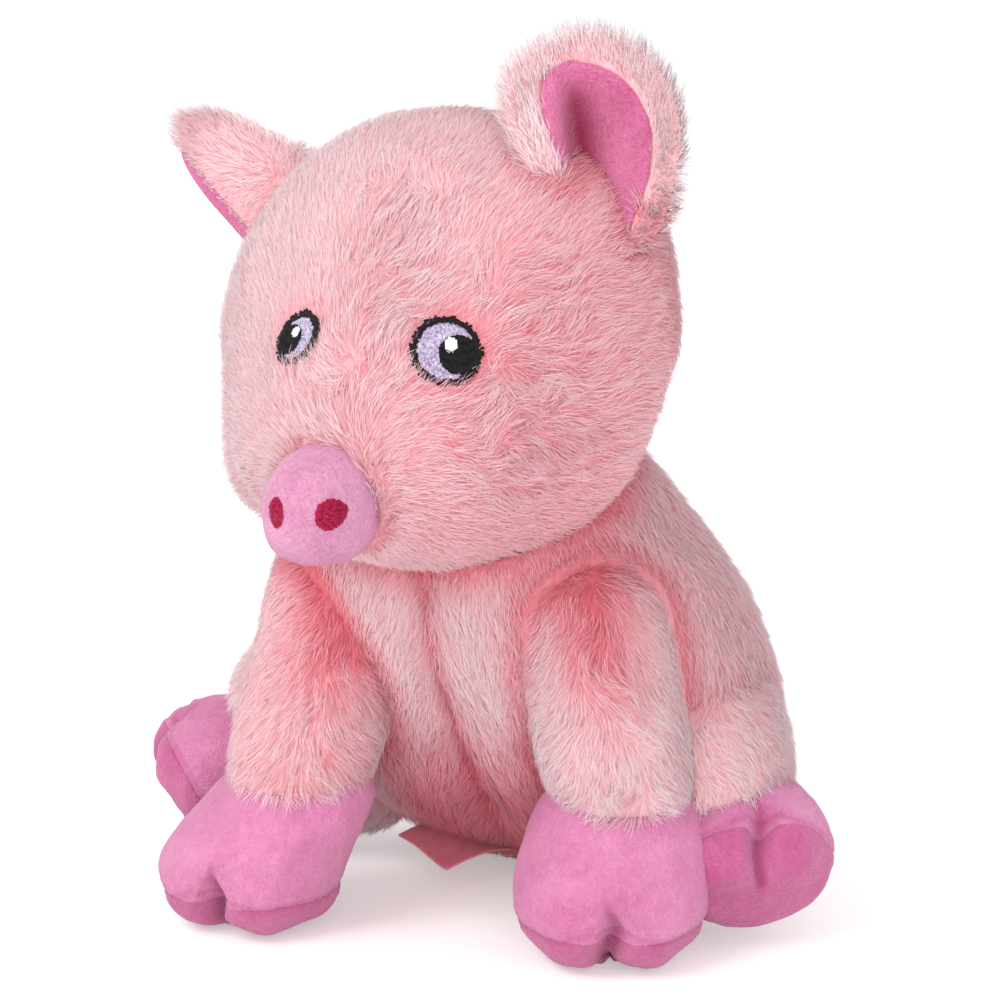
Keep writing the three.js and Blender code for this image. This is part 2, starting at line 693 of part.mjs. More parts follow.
// Tail
const tailJoint = vector(tailRoot);
const tailForm = sectionForm([
  { z: -8, front: 0, back: 0, half: 0 },
  { z: -7, front: -tailRadius * 0.7, back: tailRadius * 0.7, half: tailRadius * 0.7 },
  { z: 0, front: -tailRadius, back: tailRadius, half: tailRadius },
  { z: tailLength * 0.6, front: -tailRadius * 0.85, back: tailRadius * 0.85, half: tailRadius * 0.85 },
  { z: tailLength * 0.92, front: -tailRadius * 0.5, back: tailRadius * 0.5, half: tailRadius * 0.5 },
  { z: tailLength, front: 0, back: 0, half: 0 },
], 12, 8).rotateX(degrees(tailRise - 90)).translate(tailJoint.x, tailJoint.y, tailJoint.z);
const tailGroup = bodyGroup(tailJoint);
addPiece(
  tailGroup,
  'tail',
  clearOf(toSolid(tailForm), torsoRoom, sweepOf(tailJoint, upAxis, -tailWagRange, tailWagRange)),
  plush,
);

// Label
const labelJoint = vector(labelRoot);
const labelForm = new THREE.BoxGeometry(labelLength, labelWidth, labelThickness)
  .translate(-labelLength / 2, 0, 0)
  .rotateY(degrees(-labelDroop))
  .rotateZ(degrees(labelTurn))
  .translate(labelJoint.x, labelJoint.y, labelJoint.z);
const labelGroup = bodyGroup(labelJoint);
const labelHinge = new THREE.Vector3(0, 1, 0).applyAxisAngle(upAxis, degrees(labelTurn));
addPiece(
  labelGroup,
  'label',
  clearOf(toSolid(labelForm).subtract(floorCut), torsoRoom, sweepOf(labelJoint, labelHinge, 0, labelLiftRange)),
  satin,
);

// Torso covers and filling
const torsoCover = clearOf(
  torsoSolid(0).subtract(torsoSolid(-plushWall, inside.torso)).subtract(floorCut).subtract(neckChannel),
  headClearance,
  headPoses,
);
const aboveSeat = above(seatSeamHeight + halfGap);
const leftHalf = beyond(new THREE.Vector3(halfGap, 0, 0), sideAxis);
const rightHalf = beyond(new THREE.Vector3(-halfGap, 0, 0), rightwards);
addPiece(toy, 'torso_left_panel', torsoCover.intersect(aboveSeat).intersect(leftHalf), plush);
addPiece(toy, 'torso_right_panel', torsoCover.intersect(aboveSeat).intersect(rightHalf), plush);
addPiece(
  toy,
  'seat_panel',
  torsoCover.intersect(beyond(new THREE.Vector3(0, 0, seatSeamHeight - halfGap), new THREE.Vector3(0, 0, -1))),
  plush,
);

// Squeaker: a moulded shell below, bellows, a cap that travels and a reed in the middle
const lathe = (points, floor) => {
  const profile = points.map(([radius, height]) => new THREE.Vector2(radius, height));
  const turnedForm = new THREE.LatheGeometry(profile, turnedSides).rotateX(Math.PI / 2);
  return toSolid(turnedForm.translate(squeakerCentre.x, squeakerCentre.y, floor));
};
const bellowsFloor = squeakerFloor + squeakerShellHeight + seamGap;
const capFloor = bellowsFloor + bellowsHeight + seamGap;
const reedHole = reedRadius + seamGap;
addPiece(toy, 'squeaker_base', lathe([
  [reedHole, 0],
  [squeakerRadius - 2, 0],
  [squeakerRadius, 2],
  [squeakerRadius, squeakerShellHeight],
  [squeakerRadius - 2 * squeakerWall, squeakerShellHeight],
  [squeakerRadius - 2 * squeakerWall, squeakerWall],
  [reedHole, squeakerWall],
  [reedHole, 0],
], squeakerFloor), moulding);
const foldStep = bellowsHeight / (2 * bellowsFolds);
const bellowsOuter = Array.from({ length: 2 * bellowsFolds + 1 }, (_, i) => (
  [squeakerRadius - squeakerWall - (i % 2) * 3, i * foldStep]
));
const bellowsInner = bellowsOuter.map(([radius, height]) => [radius - squeakerWall, height]).reverse();
addPiece(toy, 'squeaker_bellows', lathe(
  [...bellowsOuter, ...bellowsInner, bellowsOuter[0]],
  bellowsFloor,
), moulding);
addPiece(toy, 'squeaker_reed', lathe([
  [reedRadius - squeakerWall, 0.5],
  [reedRadius, 0.5],
  [reedRadius, squeakerShellHeight],
  [reedRadius - squeakerWall, squeakerShellHeight],
  [reedRadius - squeakerWall, 0.5],
], squeakerFloor), moulding);
const capGroup = bodyGroup(new THREE.Vector3(squeakerCentre.x, squeakerCentre.y, capFloor));
addPiece(capGroup, 'squeaker_cap', lathe([
  [0, squeakerWall],
  [squeakerRadius - 2 * squeakerWall, 0],
  [squeakerRadius, 0],
  [squeakerRadius, 1.5],
  [squeakerRadius / 2, squeakerShellHeight - 1],
  [0, squeakerShellHeight],
], capFloor), moulding);

const pocketHeight = capFloor + squeakerShellHeight + seamGap - squeakerFloor;
const pocketRadius = squeakerRadius + 2 * seamGap;
const pocket = new THREE.CylinderGeometry(pocketRadius, pocketRadius, pocketHeight + seamGap, turnedSides)
  .rotateX(Math.PI / 2)
  .translate(squeakerCentre.x, squeakerCentre.y, squeakerFloor + pocketHeight / 2);
const slit = new THREE.BoxGeometry(squeakerRadius, 100, pocketHeight - 4)
  .translate(squeakerCentre.x, squeakerCentre.y - 50, squeakerFloor + pocketHeight / 2);
const torsoFilling = torsoSolid(-plushWall - seamGap, inside.torso)
  .subtract(headSolid(neckReach))
  .subtract(neckBall(seamGap))
  .subtract(neckChannel)
  .subtract(floorCut)
  .subtract(toSolid(pocket))
  .subtract(toSolid(slit));
addPiece(toy, 'torso_filling', torsoFilling, fibre);

// The toy stands with the middle of its outline over the origin
const middle = new THREE.Box3().setFromObject(toy).getCenter(new THREE.Vector3());
for (const child of toy.children) {
  child.position.x -= middle.x;
  child.position.y -= middle.y;
}

export default toy;
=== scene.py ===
import math
import random

import bmesh
import bpy
from mathutils import Matrix, Vector, noise
from mathutils.bvhtree import BVHTree
from mathutils.kdtree import KDTree


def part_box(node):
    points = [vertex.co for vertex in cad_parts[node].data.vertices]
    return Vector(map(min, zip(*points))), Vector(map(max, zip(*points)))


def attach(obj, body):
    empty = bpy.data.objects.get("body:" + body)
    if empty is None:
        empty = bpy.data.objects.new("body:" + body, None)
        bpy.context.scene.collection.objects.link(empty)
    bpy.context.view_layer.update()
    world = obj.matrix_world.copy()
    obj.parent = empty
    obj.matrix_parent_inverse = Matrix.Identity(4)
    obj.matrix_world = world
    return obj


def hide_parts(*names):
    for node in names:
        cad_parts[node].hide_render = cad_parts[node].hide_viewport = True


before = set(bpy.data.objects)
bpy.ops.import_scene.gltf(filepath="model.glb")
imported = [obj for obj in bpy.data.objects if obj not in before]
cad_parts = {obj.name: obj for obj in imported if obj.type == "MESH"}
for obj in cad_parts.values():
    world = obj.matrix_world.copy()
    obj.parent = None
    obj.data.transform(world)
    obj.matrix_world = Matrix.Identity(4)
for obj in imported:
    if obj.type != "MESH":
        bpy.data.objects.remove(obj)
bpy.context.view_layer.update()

# Lengths are in millimetres while a piece is shaped. The toy's own middle line stands
# under the squeaker, and settle() carries a finished piece to its place in metres.
cap_low, cap_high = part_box("squeaker_cap")
MIDDLE = Vector(((cap_low[0] + cap_high[0]) / 2, (cap_low[1] + cap_high[1]) / 2 - 0.030, 0))

PILE = 2.4
BACKING = 1.2
SIDES = (("left", 1), ("right", -1))

HEAD = Vector((0, -14, 155))
HEAD_HALF = Vector((58, 45, 56))
MUZZLE_AIM = Vector((0, -68, -27)).normalized()
MUZZLE_REACH = 25
MUZZLE_SPREAD = 0.2
FACE_SEAM = -12

SNOUT = Vector((-2.2, -82, 126.5))
SNOUT_HALF = Vector((12.2, 16.5, 14.2))

NECK_DOWN = Vector((0, math.sin(math.radians(21)), -math.cos(math.radians(21))))

TORSO = [
    (-0.5, 50, 50, 0), (0.6, 37, 62, 23), (10, 24, 72, 46), (22, 8, 79, 58), (36, -6, 82, 65),
    (54, -19, 82, 69), (72, -30, 77, 67), (92, -37, 67, 60), (108, -38, 55, 49.5), (122, -33, 42, 40),
    (136, -18, 28, 24), (142, 5, 5, 0),
]
SEAT_SEAM = 11

HOOF = [
    (-0.5, -2, -2, 0), (0.6, -14.5, 14, 15), (5, -22.2, 18.3, 21.8), (13, -26.2, 20.5, 25),
    (23, -26, 21, 25), (33, -21, 19.5, 23), (41, -17, 17, 19), (48, -11, 11, 12), (51, 0, 0, 0),
]
HOOF_TOP = 43
SOLE_SEAM = 10.5
HIND_SIZE = 0.84
HIND_SHAPE = (1.1, 0.93, 1.08)

FORELEG_TOP = 109
SHOULDER = Vector((35, -12, 88))
RIGHT_SHOULDER_IN = 4
FOREHOOF = {"left": (41, -11, 22, (1, 3)), "right": (-52, -24.5, -2, (13.5, 0))}
THIGH_HALF = Vector((26, 33, 34))
THIGH = {"left": (51, 24, 40, 28), "right": (-57, 34, 36, -58)}
HIND_HOOF = {"left": (66.5, 13.5, 24, -60, 36), "right": (-84, 22, 23.5, -60, -58)}

EAR = {
    "left": ((44.6, -11, 26), (-0.24, 0.1, 0.96), (-0.36, 0.92, -0.15), 32),
    "right": ((-34, -3, 30), (-0.9, 0.3, 0.3), (-0.02, -0.48, 0.68), 20),
}

EYE_RADIUS = 8.3

# How far the covers of head and torso stand in from their outer forms, before the pile
HEAD_INSET = PILE - 1.3
TORSO_INSET = PILE - 1.2


def smooth_step(value, low, high):
    share = min(1, max(0, (value - low) / (high - low)))
    return share * share * (3 - 2 * share)


def turned(x, y, z, turn=0, tip=0):
    place = Matrix.Translation((x, y, z)) @ Matrix.Rotation(math.radians(turn), 4, "Z")
    return place @ Matrix.Rotation(math.radians(tip), 4, "X")


# Shaping

def ball(around, rings):
    bm = bmesh.new()
    bmesh.ops.create_uvsphere(bm, u_segments=around, v_segments=rings, radius=1)
    return bm


def swell(bm, distance):
    bm.normal_update()
    steps = [(v, v.normal * distance) for v in bm.verts]
    for v, step in steps:
        v.co += step


def head_reach(direction):
    egg = 1 / math.sqrt(sum((direction[i] / HEAD_HALF[i]) ** 2 for i in range(3)))
    return egg + MUZZLE_REACH * math.exp((direction.dot(MUZZLE_AIM) - 1) / MUZZLE_SPREAD)


def section_at(sections, share):
    last = len(sections) - 1
    place = min(share * last, last - 1e-6)
    i = int(place)
    w = place - i

    def known(k):
        if k < 0:
            return [2 * a - b for a, b in zip(sections[0], sections[1])]
        if k > last:
            return [2 * a - b for a, b in zip(sections[last], sections[last - 1])]
        return sections[k]

    before, start, end, after = known(i - 1), known(i), known(i + 1), known(i + 2)
    values = []
    for a, b, c, d in zip(before, start, end, after):
        leave, arrive = (c - a) / 2, (d - b) / 2
        values.append(b + leave * w + (3 * (c - b) - 2 * leave - arrive) * w * w
                      + (2 * (b - c) + leave + arrive) * w ** 3)
    return values


def sectioned(sections, around, rings, crowding=0.0):
    """A closed form through level sections (height, front, back, half width)."""
    bm = ball(around, rings)
    for v in bm.verts:
        height, front, back, half = section_at(sections, (1 + v.co.z) / 2)
        level = Vector((v.co.x, v.co.y))
        if level.length < 1e-5:
            v.co = (0, (front + back) / 2, height)
            continue
        even = math.atan2(v.co.x, -v.co.y)
        angle = even - crowding * math.sin(even) - math.pi / 2
        middle, depth = (front + back) / 2, (back - front) / 2
        v.co = (half * math.cos(angle), middle + depth * math.sin(angle), height)
    return bm


def egg(half, place, around, rings):
    bm = ball(around, rings)
    bmesh.ops.scale(bm, vec=half, verts=bm.verts)
    bmesh.ops.transform(bm, matrix=place, verts=bm.verts)
    return bm


def rest_on_floor(bm, height=0.3):
    for v in bm.verts:
        v.co.z = max(v.co.z, height)


def tree_of(bm):
    return BVHTree.FromBMesh(bm)


def depth_in(tree, point):
    """How far a point lies outside a closed form. Inside, it is negative."""
    near, normal, _, distance = tree.find_nearest(point)
    return distance if (point - near).dot(normal) > 0 else -distance


def press_out(bm, tree, towards, room, own=None):
    """Carries what lies within a neighbour out along one way, so that the two only touch. With
    its own first form given, it never spreads over the neighbour beyond that form."""
    for v in bm.verts:
        if depth_in(tree, v.co) >= room:
            continue
        way = towards(v.co).normalized()
        start = v.co + way * 200
        hit, normal, _, _ = tree.ray_cast(start, -way)
        if hit is not None and (hit - v.co).dot(way) > -room:
            v.co = hit + way * room
            if own is not None and depth_in(own, v.co) > 0:
                v.co = own.find_nearest(v.co)[0]


def press_off(bm, tree, room, own=None):
    for v in bm.verts:
        near, normal, _, distance = tree.find_nearest(v.co)
        outside = (v.co - near).dot(normal) > 0
        if not outside or distance < room:
            v.co = near + normal * room
            if own is not None and depth_in(own, v.co) > 0:
                v.co = own.find_nearest(v.co)[0]


def face_out(bm):
    bm.normal_update()
    if bm.calc_volume(signed=True) < 0:
        bmesh.ops.reverse_faces(bm, faces=bm.faces[:])
        bm.normal_update()


def drop_within(bm, tree, depth):
    """Leaves out the part of a cover that lies deep inside its neighbour."""
    inside = {v for v in bm.verts if depth_in(tree, v.co) < -depth}
    bmesh.ops.delete(bm, geom=[f for f in bm.faces if all(v in inside for v in f.verts)], context="FACES")


CLOTH_MESH = 0.005
CLOTH_FRAMES = 20


def inflate(bm, held, shrink=0.6, give=2.6, pressure=4.0):
    """Blows a padded form up as sewn cloth under pressure, from a slightly smaller start. held
    tells how firmly a place is held by a seam, from 0 to 1. The form follows what the cloth did."""
    bm.normal_update()
    normals = [v.normal.copy() for v in bm.verts]
    small = bm.copy()
    swell(small, -shrink)
    bmesh.ops.scale(small, vec=(0.001, 0.001, 0.001), verts=small.verts)
    mesh = bpy.data.meshes.new("pattern")
    small.to_mesh(mesh)
    small.free()
    pattern = bpy.data.objects.new("pattern", mesh)
    bpy.context.scene.collection.objects.link(pattern)
    coarse = pattern.modifiers.new("coarse", "REMESH")
    coarse.mode = "VOXEL"
    coarse.voxel_size = CLOTH_MESH
    graph = bpy.context.evaluated_depsgraph_get()
    skin = bpy.data.meshes.new_from_object(pattern.evaluated_get(graph))
    bpy.data.objects.remove(pattern)
    blown = bpy.data.objects.new("blown", skin)
    bpy.context.scene.collection.objects.link(blown)
    pins = blown.vertex_groups.new(name="held")
    for v in skin.vertices:
        pins.add([v.index], held(v.co * 1000, v.normal), "REPLACE")
    cloth = blown.modifiers.new("cloth", "CLOTH")
    cloth.settings.quality = 5
    cloth.settings.use_pressure = True
    cloth.settings.uniform_pressure_force = pressure
    cloth.settings.effector_weights.gravity = 0
    cloth.settings.vertex_group_mass = "held"
    cloth.point_cache.frame_start = 1
    cloth.point_cache.frame_end = CLOTH_FRAMES
    start = [v.co * 1000 for v in skin.vertices]
    scene = bpy.context.scene
    for number in range(1, CLOTH_FRAMES + 1):
        scene.frame_set(number)
    graph = bpy.context.evaluated_depsgraph_get()
    end = blown.evaluated_get(graph).to_mesh()
    moves = [v.co * 1000 - s for v, s in zip(end.vertices, start)]
    blown.evaluated_get(graph).to_mesh_clear()
    scene.frame_set(1)
    bpy.data.objects.remove(blown)
    places = KDTree(len(start))
    for index, place in enumerate(start):
        places.insert(place, index)
    places.balance()
    for v, normal in zip(bm.verts, normals):
        base = v.co - normal * shrink
        total, weight = Vector((0, 0, 0)), 0.0
        for _, index, distance in places.find_n(base, 5):
            share = 1 / (0.5 + distance) ** 2
            total += moves[index] * share
            weight += share
        move = total / weight
        if move.length > give:
            move = move.normalized() * give
        v.co = base + move
    calm_poles(bm)


def calm_poles(bm):
    """Evens out and closes the very fine rings where a form comes together."""
    poles = [v for v in bm.verts if len(v.link_edges) > 12]
    around = {v for pole in poles for v in bm.verts if (v.co - pole.co).length < 3}
    for _ in range(6):
        bmesh.ops.smooth_vert(
            bm, verts=list(around), factor=0.5, use_axis_x=True, use_axis_y=True, use_axis_z=True)
    for pole in poles:
        ring = [v for v in bm.verts if (v.co - pole.co).length < 0.9]
        bmesh.ops.pointmerge(bm, verts=ring, merge_co=pole.co.copy())


def keep_side(bm, point, normal):
    """Cuts a form by a plane and keeps the side that normal points to, left open."""
    bmesh.ops.bisect_plane(
        bm, geom=bm.verts[:] + bm.edges[:] + bm.faces[:], dist=1e-4,
        plane_co=point, plane_no=normal, clear_inner=True, clear_outer=False,
    )


def settle(name, bm, body, finish, replaces=(), thickness=0.0):
    """Turns a shaped form into a finished piece at its place on a body."""
    bmesh.ops.scale(bm, vec=(0.001, 0.001, 0.001), verts=bm.verts)
    bmesh.ops.translate(bm, vec=MIDDLE, verts=bm.verts)
    for face in bm.faces:
        face.smooth = True
    mesh = bpy.data.meshes.new(name)
    bm.to_mesh(mesh)
    bm.free()
    piece = adopt(name, mesh, body, finish, replaces)
    if thickness:
        wall = piece.modifiers.new("wall", "SOLIDIFY")
        wall.thickness = thickness / 1000
        wall.offset = -1
    return piece


def adopt(name, mesh, body, finish, replaces=()):
    piece = bpy.data.objects.new(name, mesh)
    bpy.context.scene.collection.objects.link(piece)
    mesh.materials.clear()
    mesh.materials.append(finish)
    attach(piece, body)
    if replaces:
        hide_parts(*replaces)
    return piece


# Finishes

def add_node(tree, kind, settings=(), **inputs):
    """Adds a node to a tree. An input is named by its socket, or by its number, as in i0."""
    made = tree.nodes.new(kind)
    for key, value in settings:
        setattr(made, key, value)
    for key, value in inputs.items():
        socket = made.inputs[int(key[1:])] if key[0] == "i" and key[1:].isdigit() else made.inputs[key]
        if isinstance(value, bpy.types.NodeSocket):
            tree.links.new(value, socket)
        else:
            socket.default_value = value
    return made


class Finish:
    """A node material, built a node at a time."""

    def __init__(self, name, **values):
        self.material = bpy.data.materials.new(name)
        self.material.use_nodes = True
        self.tree = self.material.node_tree
        self.shader = self.tree.nodes["Principled BSDF"]
        for socket, value in values.items():
            self.shader.inputs[socket.replace("_", " ").title().replace("Ior", "IOR")].default_value = value

    def node(self, kind, settings=(), **inputs):
        return add_node(self.tree, kind, settings, **inputs)

    def ramp(self, factor, stops):
        made = self.node("ShaderNodeValToRGB", i0=factor)
        band = made.color_ramp
        while len(band.elements) < len(stops):
            band.elements.new(0.5)
        for element, (place, colour) in zip(band.elements, stops):
            element.position = place
            element.color = (*srgb(*colour), 1)
        return made.outputs[0]

    def mix(self, factor, one, two, blend="MIX"):
        made = self.node("ShaderNodeMix", (("data_type", "RGBA"), ("blend_type", blend)))
        for index, value in ((0, factor), (6, one), (7, two)):
            if isinstance(value, bpy.types.NodeSocket):
                self.tree.links.new(value, made.inputs[index])
            elif index == 0:
                made.inputs[index].default_value = value
            else:
                made.inputs[index].default_value = (*value, 1)
        return made.outputs[2]

    def sum(self, operation, one, two=0.0):
        return self.node("ShaderNodeMath", (("operation", operation),), i0=one, i1=two).outputs[0]

    def place(self, scale=(1, 1, 1), turn=(0, 0, 0)):
        here = self.node("ShaderNodeTexCoord").outputs["Object"]
        return self.node("ShaderNodeMapping", (), Vector=here, Scale=scale, Rotation=turn).outputs[0]

    def grain(self, where, scale, detail=3.0, rough=0.6):
        made = self.node("ShaderNodeTexNoise", (), Vector=where, Scale=scale, Detail=detail, Roughness=rough)
        return made.outputs["Fac"]

    def colour(self, socket):
        self.tree.links.new(socket, self.shader.inputs["Base Color"])

    def roughness(self, socket):
        self.tree.links.new(socket, self.shader.inputs["Roughness"])

    def bump(self, height, distance, strength=1.0):
        made = self.node("ShaderNodeBump", (), Height=height, Distance=distance, Strength=strength)
        self.tree.links.new(made.outputs[0], self.shader.inputs["Normal"])


def srgb(red, green, blue):
    return tuple(((c / 255 + 0.055) / 1.055) ** 2.4 if c > 10 else c / 3294.6 for c in (red, green, blue))


def plush_backing():
    """The felted lower part of the pile: soft streaks that run down the toy, pale where the plush is smooth
    and coral where it parts. Its tone attribute also carries painted shade, darker under and between the
    parts and on the side away from the key light."""
    f = Finish("plush_backing", roughness=0.85, sheen_weight=0.4, sheen_roughness=0.5)
    f.shader.inputs["Sheen Tint"].default_value = (*srgb(255, 214, 218), 1)
    tone = f.node("ShaderNodeAttribute", (("attribute_name", "tone"),)).outputs["Fac"]
    clumps = f.grain(f.place((1, 1, 0.45)), 210, 3, 0.55)
    locks = f.grain(f.place((1, 1, 0.3)), 820, 3, 0.6)
    hairs = f.grain(f.place((1, 1, 0.16)), 2400, 2, 0.6)
    height = f.sum("ADD", f.sum("MULTIPLY", clumps, 0.4), f.sum("ADD", f.sum("MULTIPLY", locks, 0.4),
                                                                f.sum("MULTIPLY", hairs, 0.2)))
    swing = f.sum("MULTIPLY", f.sum("SUBTRACT", height, 0.5), 1.2)
    f.colour(f.ramp(f.sum("ADD", tone, swing), (
        (0.1, (214, 96, 110)), (0.4, (232, 132, 144)), (0.7, (244, 168, 176)), (0.95, (250, 196, 201)),
    )))
    f.bump(height, 0.0011, 0.9)
    return f.material


def plush_pile():
    """Each strand is pink at its root and pale at its tip. The first coordinate is the strand's tone, which
    carries the coral partings and also the painted shade of the looks, and the second runs along it."""
    f = Finish("plush_pile", roughness=0.62, sheen_weight=0.25, sheen_roughness=0.45)
    f.shader.inputs["Sheen Tint"].default_value = (*srgb(255, 222, 224), 1)
    strand = f.node("ShaderNodeUVMap", (("uv_map", "OFBake"),)).outputs[0]
    parts = f.node("ShaderNodeSeparateXYZ", (), Vector=strand)
    deep = f.ramp(parts.outputs[1], (
        (0.0, (230, 98, 117)), (0.35, (240, 126, 143)), (0.75, (246, 152, 165)), (1.0, (250, 168, 179)),
    ))
    pale = f.ramp(parts.outputs[1], (
        (0.0, (250, 198, 206)), (0.3, (254, 218, 225)), (0.65, (255, 235, 240)), (1.0, (255, 245, 247)),
    ))
    f.colour(f.mix(parts.outputs[0], deep, pale))
    return f.material


def velour(name, dark, light, deep, nap, streak, fineness):
    """A short brushed nap, mixed towards its deep colour where the piece's tone attribute holds painted
    shade: in its seams, creases, hollows and undersides.
    """
    f = Finish(name, roughness=0.7, sheen_weight=0.6, sheen_roughness=0.4)
    f.shader.inputs["Sheen Tint"].default_value = (*srgb(255, 206, 232), 1)
    brushed = f.grain(f.place(streak), 760, 4, 0.6)
    fine = f.grain(f.place(), fineness, 2)
    cloud = f.grain(f.place(), 70, 3, 0.55)
    tone = f.sum("ADD", f.sum("MULTIPLY", cloud, 0.45), f.sum("ADD", f.sum("MULTIPLY", brushed, 0.3),
                                                              f.sum("MULTIPLY", fine, 0.25)))
    # Painted shade: the tone attribute darkens the nap towards the deep colour
    painted_shade = f.node("ShaderNodeAttribute", (("attribute_name", "tone"),)).outputs["Fac"]
    f.colour(f.mix(painted_shade, f.ramp(tone, ((0.36, dark), (0.62, light))), srgb(*deep)))
    f.bump(f.sum("ADD", f.sum("MULTIPLY", fine, 0.7), f.sum("MULTIPLY", brushed, 0.35)), 0.0006 * nap)
    return f.material


def thread(name, dark, light, shine=0.45):
    f = Finish(name, roughness=shine, specular_ior_level=0.3)
    f.colour(f.ramp(f.grain(f.place((1, 1, 1)), 1800, 2), ((0.35, dark), (0.65, light))))
    f.bump(f.grain(f.place((1, 1, 1)), 5200, 2), 0.0001)
    return f.material


def satin_ribbon():
    f = Finish("satin_ribbon", roughness=0.32, sheen_weight=0.4, specular_ior_level=0.6)
    weave = f.node("ShaderNodeTexWave", (("bands_direction", "X"),),
                   Vector=f.place(), Scale=1300.0, Distortion=0.6)
    f.colour(f.ramp(f.grain(f.place((1, 0.2, 1)), 420), ((0.3, (250, 116, 138)), (0.7, (255, 148, 166)))))
    f.bump(weave.outputs["Fac"], 0.00005)
    return f.material


def loose_fibre():
    f = Finish("polyester_fibre", roughness=0.95)
    tangle = f.grain(f.place(), 700, 6, 0.7)
    f.colour(f.ramp(tangle, ((0.3, (222, 220, 214)), (0.7, (248, 247, 243)))))
    f.bump(tangle, 0.0012)
    return f.material


def moulding():
    f = Finish("moulded_polyethylene", roughness=0.42)
    f.colour(f.ramp(f.grain(f.place(), 160, 2), ((0.3, (236, 236, 232)), (0.7, (246, 246, 243)))))
    f.roughness(f.node("ShaderNodeMapRange", (), Value=f.grain(f.place(), 900), i3=0.34, i4=0.52).outputs[0])
    f.bump(f.grain(f.place(), 1500), 0.00004)
    return f.material


BACKING_CLOTH = plush_backing()
PLUSH = plush_pile()
ALONG_NAP, EVEN_NAP = (1, 1, 0.5), (1, 1, 1)
HOOF_VELOUR = velour("hoof_velour", (206, 110, 160), (230, 146, 190), (170, 52, 110), 1.7, ALONG_NAP, 1800.0)
# The sole is a darker copy of the hoof velour: painted shade for the underside.
SHADED_SOLE_VELOUR = velour(
    "hoof_sole_velour", (188, 80, 134), (212, 112, 162), (148, 34, 92), 1.7, ALONG_NAP, 1800.0)
SNOUT_VELOUR = velour("snout_velour", (200, 126, 164), (234, 166, 200), (176, 84, 128), 2.2, EVEN_NAP, 1300.0)
LINING_VELOUR = velour(
    "ear_lining_velour", (192, 78, 128), (230, 128, 174), (158, 18, 72), 2.4, EVEN_NAP, 1500.0)
BLACK = thread("black_thread", (4, 3, 5), (16, 11, 17), 0.55)
PALE = thread("pale_thread", (146, 126, 162), (222, 212, 236))
WHITE = thread("white_thread", (236, 234, 242), (252, 251, 254))
CRIMSON = thread("crimson_thread", (134, 2, 46), (188, 14, 78))
SEAM_THREAD = thread("seam_thread", (206, 128, 140), (232, 164, 172), 0.6)
SATIN = satin_ribbon()
FIBRE = loose_fibre()
MOULDING = moulding()

INNER = {
    "squeaker_base": MOULDING, "squeaker_bellows": MOULDING, "squeaker_reed": MOULDING,
    "squeaker_cap": MOULDING, "neck_thread": SEAM_THREAD, "neck_filling": FIBRE,
}


# Pile

def strand_form(name, bend, sway):
    """One strand a unit long, standing on Z and flattening towards +X. A bent one has a knee."""
    bm = bmesh.new()
    knee = 0.42 if bend else 0
    bmesh.ops.create_cone(bm, cap_ends=True, segments=3, radius1=0.0125, radius2=0, depth=1 - knee)
    bmesh.ops.remove_doubles(bm, verts=bm.verts, dist=1e-4)
    bmesh.ops.translate(bm, vec=(0, 0, (1 + knee) / 2), verts=bm.verts)
    if bend:
        cap = min(bm.faces, key=lambda face: face.calc_center_median().z)
        root = bmesh.ops.poke(bm, faces=[cap])["verts"]
        bmesh.ops.translate(bm, vec=(0, 0, -knee), verts=root)
    along = bm.verts.layers.float.new("along")
    for v in bm.verts:
        v[along] = v.co.z
        lift = 4 * v.co.z * (1 - v.co.z)
        v.co.x -= bend * lift
        v.co.y += sway * lift
    bmesh.ops.recalc_face_normals(bm, faces=bm.faces)
    for face in bm.faces:
        face.smooth = True
    mesh = bpy.data.meshes.new(name)
    bm.to_mesh(mesh)
    bm.free()
    return bpy.data.objects.new(name, mesh)


